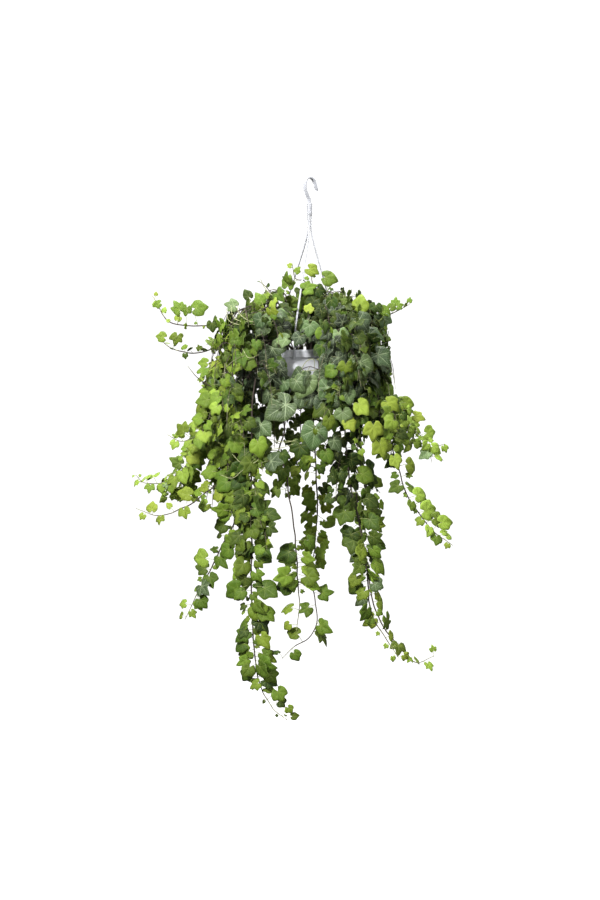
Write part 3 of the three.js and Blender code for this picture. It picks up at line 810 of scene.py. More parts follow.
def blade_net(edge_count, ring_count):
    """The faces of a blade's top, underside and rim. Its points run from the middle out, ring by ring,
    first on top and then underneath."""
    key = (edge_count, ring_count)
    if key in blade_nets:
        return blade_nets[key]
    layer = 1 + edge_count * ring_count
    top = []
    for i in range(edge_count):
        j = (i + 1) % edge_count
        top.append(np.array([0, 1 + j, 1 + i]))
        for ring in range(ring_count - 1):
            near, far = 1 + ring * edge_count, 1 + (ring + 1) * edge_count
            top.append(np.array([near + i, near + j, far + j, far + i]))
    under = [face[::-1] + layer for face in top]
    outer = 1 + (ring_count - 1) * edge_count
    rim = []
    for i in range(edge_count):
        j = (i + 1) % edge_count
        rim.append(np.array([outer + i, outer + j, outer + j + layer, outer + i + layer]))
    sides = ((top, SIDE_TOP), (under, SIDE_UNDER), (rim, SIDE_TOP))
    side = np.concatenate([np.full(len(faces), mark) for faces, mark in sides])
    corners = ((0, 0.97), (1, 0.97), (1, 1), (0, 1))
    rim_cells = np.array([((i + c) / edge_count, v) for i in range(edge_count) for c, v in corners])
    blade_nets[key] = (top, under, rim, side, rim_cells)
    return blade_nets[key]


def add_leaf(growth, rng, foot, base, along, normal, length, shade_and_tone, age):
    """Adds a leaf: a stalk from its foot on the stem to the base of its blade, and the blade, which runs
    from its base in the direction along and turns its face to normal."""
    steps, shares = (5, (0.22, 0.48, 0.76, 1.0)) if length > 0.045 else (3, (0.34, 0.68, 1.0))
    turns, reaches = blade_outline(rng, steps)
    reach = np.concatenate([[0]] + [share * reaches for share in shares])
    turn = np.concatenate([[0]] + [turns] * len(shares))
    u, v = reach * np.sin(turn), reach * np.cos(turn)
    place = turn / math.radians(LOBE_SPACING_DEG)
    place = np.where(turn > math.pi, (turn - 2 * math.pi) / math.radians(LOBE_SPACING_DEG), place)
    puff = 0.5 - 0.5 * np.cos(2 * math.pi * (place - np.round(place)))
    fold = rng.uniform(-0.02, 0.22)
    droop = rng.uniform(0.06, 0.34)
    wave = rng.uniform(0.0, 0.09)
    lift = 0.085 * puff * reach + fold * np.abs(u) - droop * reach**2
    lift += wave * reach**2 * np.sin(3 * turn + rng.uniform(0, 6)) + rng.uniform(-0.08, 0.08) * u
    lift -= 0.35 * fold * np.abs(u) * reach
    along = along / np.linalg.norm(along)
    normal = normal - along * normal.dot(along)
    normal /= np.linalg.norm(normal)
    across = np.cross(along, normal)
    top = base + length * (np.outer(u, across) + np.outer(v, along) + np.outer(lift, normal))
    thick = BLADE_THICKNESS * (0.7 + 9 * length) * (1.15 - 0.4 * reach)
    under = top - thick[:, None] * normal
    faces_top, faces_under, faces_rim, side, rim_cells = blade_net(len(turns), len(shares))
    flat = np.stack([u, v], 1)
    layer = len(u)
    top_plane = flat[np.concatenate(faces_top)]
    under_plane = flat[np.concatenate(faces_under) - layer]

    def on_sheet(plane, left):
        return np.stack([left + 0.23 + plane[:, 0] * 0.22, 0.36 + plane[:, 1] * 0.55], 1)

    rim_plane = np.zeros((4 * len(faces_rim), 2)) + (0.6, 0.6)
    growth.add(
        np.concatenate([top, under]),
        faces_top + faces_under + faces_rim,
        side,
        shade_and_tone,
        np.full(2 * layer, age),
        np.tile(reach / np.concatenate([[1]] + [reaches] * len(shares)), 2),
        np.concatenate([top_plane, under_plane, rim_plane]),
        np.concatenate([on_sheet(top_plane, 0.02), on_sheet(under_plane, 0.52), rim_cells]),
    )
    growth.cells -= 1  # the stalk, added below, shares its blade's cell
    end = base - normal * 0.5 * BLADE_THICKNESS + along * 0.02 * length
    span = np.linalg.norm(end - foot)
    leave = foot + (end - foot) * 0.35 + normal * 0.12 * span
    arrive = end - (along - 0.35 * normal) * 0.35 * span
    t = np.linspace(0, 1, STALK_STEPS + 1)[:, None]
    line = foot * (1 - t) ** 3 + 3 * leave * t * (1 - t) ** 2 + 3 * arrive * t**2 * (1 - t) + end * t**3
    size = STALK_RADIUS * (0.65 + 10 * length)
    radii = size * np.interp(t[:, 0], (0, 0.15, 0.85, 1), (1.25, 1, 0.9, 0.7))
    points = tube_points(line, radii, STALK_SIDES)
    faces = tube_faces(STALK_SIDES, len(line))
    cells = tube_cells(STALK_SIDES, len(line))
    growth.add(
        points,
        faces,
        np.full(len(faces), SIDE_STALK),
        shade_and_tone,
        np.full(len(points), age),
        np.zeros(len(points)),
        cells * (0.02, 0.01),
        cells * (1, 0.05),
    )


def vein_group():
    """Ivy's palmate veins: five ribs that fan out from the end of the stalk, each with side veins that run
    forwards, and the net between them. Works on the flat blade, whose unit is the leaf's length."""
    group = bpy.data.node_groups.new("ivy_veins", "ShaderNodeTree")
    group.interface.new_socket("Rib Width", in_out="INPUT", socket_type="NodeSocketFloat")
    group.interface.new_socket("Side Veins", in_out="INPUT", socket_type="NodeSocketFloat")
    for socket in ("Ribs", "Veins", "Between"):
        group.interface.new_socket(socket, in_out="OUTPUT", socket_type="NodeSocketFloat")
    given = group.nodes.new("NodeGroupInput")
    out = group.nodes.new("NodeGroupOutput")

    def calc(operation, *values):
        return maths(group, operation, *values)

    flat = add_node(group, "UVMap", uv_map="blade_plane")
    wobble = add_node(group, "TexNoise", Scale=5.0, Detail=1.0)
    link(group, flat.outputs["UV"], wobble.inputs["Vector"])
    bent = add_node(group, "VectorMath", operation="MULTIPLY_ADD")
    link(group, wobble.outputs["Color"], bent.inputs[0])
    bent.inputs[1].default_value = (0.05, 0.05, 0)
    link(group, flat.outputs["UV"], bent.inputs[2])
    split = add_node(group, "SeparateXYZ")
    link(group, bent.outputs["Vector"], split.inputs["Vector"])
    u = calc("SUBTRACT", split.outputs["X"], 0.025)
    v = calc("SUBTRACT", split.outputs["Y"], 0.025)
    reach = calc("SQRT", calc("ADD", calc("MULTIPLY", u, u), calc("MULTIPLY", v, v)))
    spacing = math.radians(LOBE_SPACING_DEG)
    sector = calc("DIVIDE", calc("ARCTAN2", u, v), spacing)
    off_rib = calc("ABSOLUTE", calc("SUBTRACT", sector, calc("ROUND", sector)))
    off = calc("MULTIPLY", off_rib, spacing)
    beside = calc("MULTIPLY", reach, calc("SINE", off))
    forward = calc("MULTIPLY", reach, calc("COSINE", off))
    width = calc("MULTIPLY", given.outputs["Rib Width"], calc("MAXIMUM", calc("SUBTRACT", 1.15, reach), 0.1))
    ribs = calc("SUBTRACT", 1.0, calc("MINIMUM", calc("DIVIDE", beside, width), 1.0))
    slanted = calc("SUBTRACT", forward, calc("MULTIPLY", beside, 1.3))
    ladder = calc("FRACT", calc("MULTIPLY", slanted, given.outputs["Side Veins"]))
    off_rung = calc("MULTIPLY", calc("ABSOLUTE", calc("SUBTRACT", ladder, 0.5)), 7.0)
    rungs = calc("SUBTRACT", 1.0, calc("MINIMUM", off_rung, 1.0))
    net = add_node(group, "TexVoronoi", feature="DISTANCE_TO_EDGE", Scale=16.0)
    link(group, flat.outputs["UV"], net.inputs["Vector"])
    cells = calc("MINIMUM", calc("MULTIPLY", net.outputs["Distance"], 9.0), 1.0)
    faint_net = calc("MULTIPLY", calc("SUBTRACT", 1.0, cells), 0.22)
    veins = calc("MAXIMUM", ribs, calc("MAXIMUM", calc("MULTIPLY", rungs, 0.5), faint_net))
    link(group, ribs, out.inputs["Ribs"])
    link(group, veins, out.inputs["Veins"])
    link(group, calc("MULTIPLY", cells, calc("SUBTRACT", 1.0, ribs)), out.inputs["Between"])
    return group


ivy_veins = vein_group()


def mark_value(tree, name):
    return add_node(tree, "Attribute", attribute_name=name).outputs["Fac"]


def leaf_material(
    name, shade_to_light_tones, vein_colour, vein_strength, under_colour, stalk_colour, rib_width, roughness, shine
):
    """A leaf. Its tones run from a leaf in painted deep shade to one in painted full light, and each leaf's
    own tone also turns its hue a little."""
    material, tree, shader = new_material(name)
    veins = tree.nodes.new("ShaderNodeGroup")
    veins.node_tree = ivy_veins
    veins.inputs["Rib Width"].default_value = rib_width
    veins.inputs["Side Veins"].default_value = 6.5
    place = add_node(tree, "TexCoord")
    blotch = add_node(tree, "TexNoise", Scale=85.0, Detail=4.0, Roughness=0.6)
    fine = add_node(tree, "TexNoise", Scale=650.0, Detail=3.0)
    for texture in (blotch, fine):
        link(tree, place.outputs["Object"], texture.inputs["Vector"])
    # The ramp's factor is painted shade and light, with each leaf's own tone and blotches.
    shade_and_tone = mark_value(tree, "shade_and_tone")
    light = maths(tree, "SUBTRACT", maths(tree, "MULTIPLY_ADD", blotch.outputs["Fac"], 0.34, shade_and_tone), 0.17)
    ramp = add_node(tree, "ValToRGB")
    ramp.color_ramp.elements[0].color = (*shade_to_light_tones[0], 1)
    ramp.color_ramp.elements[1].color = (*shade_to_light_tones[-1], 1)
    for i, shade in enumerate(shade_to_light_tones[1:-1], 1):
        ramp.color_ramp.elements.new(i / (len(shade_to_light_tones) - 1)).color = (*shade, 1)
    link(tree, light, ramp.inputs["Fac"])
    own_share = maths(tree, "FRACT", maths(tree, "MULTIPLY", shade_and_tone, HUES_PER_TONE))
    own_hue = mapped(tree, own_share, To_Min=0.490, To_Max=0.524)
    tinted = add_node(tree, "HueSaturation")
    link(tree, ramp.outputs["Color"], tinted.inputs["Color"])
    link(tree, own_hue, tinted.inputs["Hue"])
    vein_share = maths(tree, "MULTIPLY", veins.outputs["Veins"], vein_strength)
    pale_vein = mixed_colour(tree, 0.65, tinted.outputs["Color"], vein_colour)
    blade = mixed_colour(tree, vein_share, tinted.outputs["Color"], pale_vein)
    rim = mapped(tree, mark_value(tree, "rim"), From_Min=0.86, From_Max=1.0, To_Max=0.10)
    blade = mixed_colour(tree, rim, blade, vein_colour)
    side = mark_value(tree, "side")
    under_share = maths(tree, "MULTIPLY", maths(tree, "COMPARE", side, SIDE_UNDER, 0.1), 0.55)
    blade = mixed_colour(tree, under_share, blade, under_colour)
    stalk = maths(tree, "GREATER_THAN", side, 0.5 * (SIDE_UNDER + SIDE_STALK))
    stalk_tint = mixed_colour(tree, blotch.outputs["Fac"], stalk_colour, ramp.outputs["Color"])
    link(tree, mixed_colour(tree, stalk, blade, stalk_tint), shader.inputs["Base Color"])
    gloss = mapped(tree, fine.outputs["Fac"], To_Min=roughness - 0.08, To_Max=roughness + 0.14)
    link(tree, gloss, shader.inputs["Roughness"])
    shader.inputs["Specular IOR Level"].default_value = shine
    height = maths(tree, "MULTIPLY_ADD", veins.outputs["Between"], 0.8, fine.outputs["Fac"])
    add_bump(tree, shader, height, 0.45, 0.00045)
    return material


young_leaf = leaf_material(
    "young_ivy_leaf",
    # From painted deep shade, nearly black, to the palest leaves in painted full light.
    shade_to_light_tones=(
        (0.007, 0.015, 0.004),
        (0.032, 0.060, 0.008),
        (0.090, 0.142, 0.013),
        (0.190, 0.265, 0.026),
        (0.310, 0.410, 0.055),
    ),
    vein_colour=(0.36, 0.42, 0.10, 1),
    vein_strength=0.42,
    under_colour=(0.17, 0.22, 0.07, 1),
    stalk_colour=(0.44, 0.48, 0.20, 1),
    rib_width=0.035,
    roughness=0.46,
    shine=0.16,
)
old_leaf = leaf_material(
    "old_ivy_leaf",
    # From painted deep shade, nearly black, to the palest leaves in painted full light.
    shade_to_light_tones=(
        (0.007, 0.013, 0.007),
        (0.024, 0.046, 0.013),
        (0.056, 0.098, 0.025),
        (0.098, 0.158, 0.044),
        (0.190, 0.270, 0.095),
    ),
    vein_colour=(0.46, 0.56, 0.31, 1),
    vein_strength=0.8,
    under_colour=(0.14, 0.18, 0.11, 1),
    stalk_colour=(0.40, 0.41, 0.22, 1),
    rib_width=0.034,
    roughness=0.46,
    shine=0.34,
)


def stem_material():
    """Bark that is brown and ridged low on the stem and turns smooth and pale green towards the tip."""
    material, tree, shader = new_material("ivy_bark")
    along = add_node(tree, "UVMap", uv_map="blade_plane")
    stretch = add_node(tree, "Mapping")
    stretch.inputs["Scale"].default_value = (60, 900, 1)
    link(tree, along.outputs["UV"], stretch.inputs["Vector"])
    ridges = add_node(tree, "TexNoise", Scale=1.0, Detail=4.0)
    link(tree, stretch.outputs["Vector"], ridges.inputs["Vector"])
    place = add_node(tree, "TexCoord")
    patches = add_node(tree, "TexNoise", Scale=120.0, Detail=4.0)
    link(tree, place.outputs["Object"], patches.inputs["Vector"])
    bark = mixed_colour(tree, ridges.outputs["Fac"], (0.018, 0.013, 0.010, 1), (0.085, 0.062, 0.047, 1))
    green = mixed_colour(tree, patches.outputs["Fac"], (0.20, 0.22, 0.07, 1), (0.56, 0.58, 0.30, 1))
    youth = maths(tree, "MULTIPLY_ADD", patches.outputs["Fac"], 0.5, mark_value(tree, "age"))
    turn = mapped(tree, youth, From_Min=1.08, From_Max=1.38)
    link(tree, mixed_colour(tree, turn, bark, green), shader.inputs["Base Color"])
    link(tree, mapped(tree, turn, To_Min=0.8, To_Max=0.5), shader.inputs["Roughness"])
    add_bump(tree, shader, ridges.outputs["Fac"], 0.7, 0.0005)
    return material


ivy_bark = stem_material()


def soil_start(x, y):
    """A stem's first two points: it stands just clear of the soil at its foot."""
    return (x, y, SOIL_TOP_Z + 0.0006), (x, y, SOIL_TOP_Z + 0.012)


def smooth_step(low, high, value):
    share = min(1.0, max(0.0, (value - low) / (high - low)))
    return share * share * (3 - 2 * share)


def near_spot(at, x, z, wide, high):
    """How near a point is to a spot, seen from the front: 1 at the spot, and 0 well away from it."""
    return math.exp(-((at[0] - x) / wide) ** 2 - ((at[2] - z) / high) ** 2)


def painted_light_at(at):
    """The painted light and shade in a leaf's colour at a point, from about 0 to 1: lightest at the top and
    out at the sides, darkest between the pot and the curtain, and darker in the thick places at the front."""
    radial = math.hypot(at[0] - POT_AXIS_X, at[1])
    light = 0.16 + 0.24 * smooth_step(0.10, 0.20, radial) + 0.26 * smooth_step(-0.34, -0.25, at[2])
    light += 0.12 * smooth_step(-0.60, -0.80, at[2]) + 0.20 * smooth_step(0.20, 0.32, radial)
    middle = near_spot(at, 0.075, -0.44, 0.09, 0.15)
    inner_left = near_spot(at, -0.10, -0.46, 0.055, 0.11)
    under_left = near_spot(at, -0.11, -0.77, 0.05, 0.06)
    upper_right = near_spot(at, 0.06, -0.335, 0.06, 0.035)
    left_edge = smooth_step(-0.14, -0.22, at[0]) * smooth_step(-0.80, -0.60, at[2])
    right_edge = smooth_step(0.10, 0.19, at[0]) * smooth_step(-0.42, -0.54, at[2])
    light -= 0.16 * middle + 0.34 * inner_left + 0.20 * under_left + 0.20 * upper_right
    return light + 0.20 * left_edge + 0.20 * right_edge


def hides_the_pot(at, size):
    """Whether a leaf there would hide the front leg or the part of the pot that shows at the front."""
    if at[1] > -0.03:
        return False
    leg_share = (at[2] + 0.083) / (RIM_TOP_Z + 0.083)
    beside_leg = -0.340 < at[2] < -0.19 and abs(at[0] + 0.033 * leg_share) < 0.42 * size
    beside_leg = beside_leg and at[1] < 0.012 - 0.085 * leg_share
    in_front = -0.052 - 0.35 * size < at[0] < 0.004 + 0.35 * size and -0.445 < at[2] < -0.378
    return beside_leg or in_front


def has_room(middle, reach):
    """Whether a blade about that point keeps to the CAD model's box, give or take a little."""
    low, high = np.array(cad_box[0]), np.array(cad_box[1])
    spill = 0.006 + 0.03 * (high - low)
    return bool(np.all(middle - reach > low - spill) and np.all(middle + reach < high + spill))


def outgrows_the_dome(at, size):
    """Whether a leaf there would stick out of the rounded mass that the arching vines make."""
    radial = math.hypot(at[0] - POT_AXIS_X, at[1])
    widest = 0.200 + 0.012 * smooth_step(0, -0.1, at[0]) + 0.05 * smooth_step(-0.48, -0.58, at[2])
    highest = -0.238 - 1.85 * ((at[0] - 0.01) ** 2 + at[1] ** 2)
    return radial + 0.3 * size > widest or at[2] + 0.35 * size > highest


def grew_old(rng, at, vine):
    """Whether a leaf there is an old, dark one: all are on the inner shoots, and most at the front near
    the pot, but few elsewhere."""
    middle = near_spot(at, 0.03, -0.42, 0.12, 0.10) if at[1] < 0 else 0
    return vine.get("old", False) or rng.random() < 0.03 + 0.6 * middle


def in_the_hollow(at):
    """How likely a place is to be in the dark gap at the front, to the left of the pot, from 0 to 1."""
    if at[1] > -0.02:
        return 0.0
    return 0.65 * near_spot(at, -0.10, -0.44, 0.04, 0.08)


def leaf_way(rng, at, stem_way, side, vine):
    """Which way a leaf's stalk leaves, its blade runs and its face turns."""
    faces, lift = vine.get("faces"), vine.get("lift", 0)
    splay, toss = vine.get("splay", 0.35), vine.get("toss", 0.7)
    outward = np.array([at[0] - POT_AXIS_X, at[1], 0.0])
    outward /= max(np.linalg.norm(outward), 1e-6)
    normal = np.array(faces, float) if faces else outward + (0, 0, 0.45)
    normal += np.array([rng.uniform(-toss, toss) for _ in range(3)])
    normal /= np.linalg.norm(normal)
    sideways = np.cross(stem_way, normal)
    sideways *= side / max(np.linalg.norm(sideways), 1e-6)
    stalk = sideways + 0.55 * normal + 0.3 * stem_way + np.array([0, 0, lift * 0.9])
    hang = lift if lift else splay - 1.0
    along = sideways * rng.uniform(2 * splay - 0.5, 1.0) + np.array([0, 0, hang]) + 0.2 * stem_way
    along += np.array([rng.uniform(-0.6, 0.6) * toss for _ in range(3)])
    return stalk / np.linalg.norm(stalk), along / np.linalg.norm(along), normal


def kinked(rng, line, size):
    """Bends a stem a little to one side and the other, joint by joint."""
    count = len(line)
    joints = max(2, count // 4)
    pull = np.array([[rng.uniform(-1, 1) for _ in range(3)] for _ in range(joints)]) * size
    pull[0] = pull[-1] = 0
    where = np.linspace(0, joints - 1, count)
    return line + np.stack([np.interp(where, range(joints), pull[:, k]) for k in range(3)], 1)


def leafy_stem(rng, stem, leaves, line, vine, radius, leaves_from, ages, size):
    """Adds one stem, or side shoot, and its leaves, each to the piece for old leaves or the one for young
    leaves. size scales the leaves, about a third of which are small ones that came late."""
    steps = np.linalg.norm(np.diff(line, axis=0), axis=1)
    run = np.concatenate([[0], np.cumsum(steps)])
    shares = run / run[-1]
    radii = radius * np.interp(shares, (0, 0.03, 0.8, 0.97, 1), (1.3, 1, 0.88, 1.2 * STEM_TIP_SHARE, 0.4))
    stem_ages = np.interp(shares, (0, 1), ages)
    add_stem(stem, line, radii, stem_ages, rng.uniform(0, 1))
    thin_from, thin_by = vine.get("thin", (1.0, 1.0))
    at_run = leaves_from * run[-1]
    side = 1
    while at_run < run[-1]:
        share = at_run / run[-1]
        gap = vine.get("spacing", 0.0185) * rng.uniform(0.72, 1.28) * (1 - 0.35 * share)
        at_run += gap * (thin_by if share > thin_from else 1)
        side = -side if rng.random() < SIDE_CHANGE_SHARE else side
        at = np.array([np.interp(share * run[-1], run, line[:, k]) for k in range(3)])
        ahead = np.array([np.interp(min(1, share + 0.02) * run[-1], run, line[:, k]) for k in range(3)])
        way = ahead - at
        way = way / np.linalg.norm(way) if np.linalg.norm(way) > 1e-6 else line[-1] - line[-2]
        way = way / np.linalg.norm(way)
        grown = rng.uniform(0.26, 0.5) if rng.random() < LATE_LEAF_SHARE else rng.uniform(0.6, 1.0)
        length = vine["leaf"] * size * grown * (1 - 0.5 * smooth_step(0.86, 1.0, share))
        stalk, along, normal = leaf_way(rng, at, way, side, vine)
        base = at + stalk * (length * rng.uniform(0.35, 0.65 + 0.7 * vine.get("toss", 0.7)) + 0.003)
        middle = base + 0.4 * length * along
        if hides_the_pot(middle, 1.4 * length) or not has_room(middle, 0.6 * length):
            continue
        if rng.random() < in_the_hollow(middle) or (vine.get("dome") and outgrows_the_dome(middle, length)):
            continue
        age = ages[0] + (ages[1] - ages[0]) * share
        # A leaf's tone is painted shade and light by its place and vine, with its own changes by age and size
        # and at random.
        shade_and_tone = painted_light_at(base) + 0.14 * smooth_step(0.6, 1.0, age) + rng.gauss(0, 0.17)
        shade_and_tone += vine.get("shade_and_tone", 0)
        shade_and_tone += 0.10 * (0.75 - grown)
        shade_and_tone = min(0.92, max(0.02, shade_and_tone))
        skin = "old" if grew_old(rng, middle, vine) else "young"
        add_leaf(leaves[skin], rng, at, base, along, normal, length, shade_and_tone, age)


def side_shoot(rng, line, vine):
    """The route of a short side shoot: out from the stem, and then bending down."""
    index = int(len(line) * rng.uniform(*vine.get("shoots_at", (0.32, 0.94))))
    at = line[index]
    outward = np.array([at[0] - POT_AXIS_X, at[1], 0.0])
    outward /= max(np.linalg.norm(outward), 1e-6)
    sideways = np.cross(outward, (0, 0, 1)) * rng.choice((-1, 1))
    reach = rng.uniform(0.035, 0.085)
    way = outward * rng.uniform(0.05, 0.5) + sideways * rng.uniform(0.4, 1.0)
    way /= np.linalg.norm(way)
    fall = np.array([0, 0, rng.uniform(-0.02, -0.10)])
    bends = [
        at,
        at + way * 0.35 * reach + (0, 0, 0.006),
        at + way * 0.8 * reach + 0.3 * fall,
        at + way * reach + fall,
    ]
    low, high = np.array(cad_box[0]) - 0.004, np.array(cad_box[1]) + 0.004
    return [np.clip(bend, low, high) for bend in bends]


def grow_vine(vine, index, placed_leaves, loose_stalks):
    """Grows one vine as up to three pieces: its stems, its young leaves and its old leaves. Each of the
    placed_leaves has a place of its own, and each of the loose_stalks is the route of a bare stalk.

    A vine has its stem's radius, the length of its largest leaves, the share of its route at which leaves
    start, and their spacing. It may also have: faces, the way that its leaves face; side shoots, and where
    they leave it; nearly bare runners; one shoot with a route of its own; thin, the share past which leaves
    get fewer and by how much; lift, splay and toss, for leaves held up, held sideways and turned at random; a
    change of painted shade and tone; old, if all its leaves are old; and dome, if it keeps within the dome."""
    rng = random.Random(900 + 17 * index)
    stem, leaves = Growth(), {"young": Growth(), "old": Growth()}
    line = kinked(rng, curve_point(vine["route"], STEM_STEP), 0.0011)
    leafy_stem(rng, stem, leaves, line, vine, vine["radius"], vine["leaves_from"], (0.0, 1.0), 1.0)
    if "shoot" in vine:
        root = line[int(len(line) * vine["shoot_from"])]
        shoot = kinked(rng, curve_point([root, *vine["shoot"]], STEM_STEP), 0.0008)
        shoot_vine = {**vine, "thin": vine.get("shoot_thin", (1.0, 1.0))}
        leafy_stem(rng, stem, leaves, shoot, shoot_vine, 0.7 * vine["radius"], 0.2, (0.35, 1.0), 0.95)
    for _ in range(vine.get("side_shoots", 0)):
        shoot = curve_point(side_shoot(rng, line, vine), STEM_STEP)
        leafy_stem(rng, stem, leaves, shoot, vine, 0.55 * vine["radius"], 0.25, (0.45, 1.0), 0.85)
    for _ in range(vine.get("runners", 0)):
        runner = curve_point(side_shoot(rng, line, vine), STEM_STEP)
        runner_vine = {**vine, "spacing": 0.045, "leaf": 0.022}
        leafy_stem(rng, stem, leaves, runner, runner_vine, 0.0007, 0.5, (0.85, 1.0), 0.9)
    for middle, tip_way, face_way, length, shade_and_tone, kind in placed_leaves:
        tip_way = np.array(tip_way, float) / np.linalg.norm(tip_way)
        base = np.array(middle) - 0.4 * length * tip_way
        foot = line[np.argmin(np.linalg.norm(line - base, axis=1))]
        add_leaf(leaves[kind], rng, foot, base, tip_way, np.array(face_way, float), length, shade_and_tone, 0.3)
    for route in loose_stalks:
        foot = line[np.argmin(np.linalg.norm(line - np.array(route[0]), axis=1))]
        stalk = curve_point([foot, *route], STEM_STEP)
        radii = np.interp(np.linspace(0, 1, len(stalk)), (0, 0.9, 1), (0.0009, 0.0007, 0.0003))
        add_stem(stem, stalk, radii, np.full(len(stalk), 1.1), 0.5)
    stem_name = vine["name"] + "_stem"
    add_piece(stem_name, stem.mesh(stem_name, 1), ivy_bark, "ivy_stem", vine["name"])
    for kind, skin in (("young", young_leaf), ("old", old_leaf)):
        growth = leaves[kind]
        if growth.cells:
            piece_name = f"{vine['name']}_{kind}_leaves"
            mesh = growth.mesh(piece_name, math.ceil(math.sqrt(growth.cells)))
            add_piece(piece_name, mesh, skin, "ivy_" + kind, vine["name"])


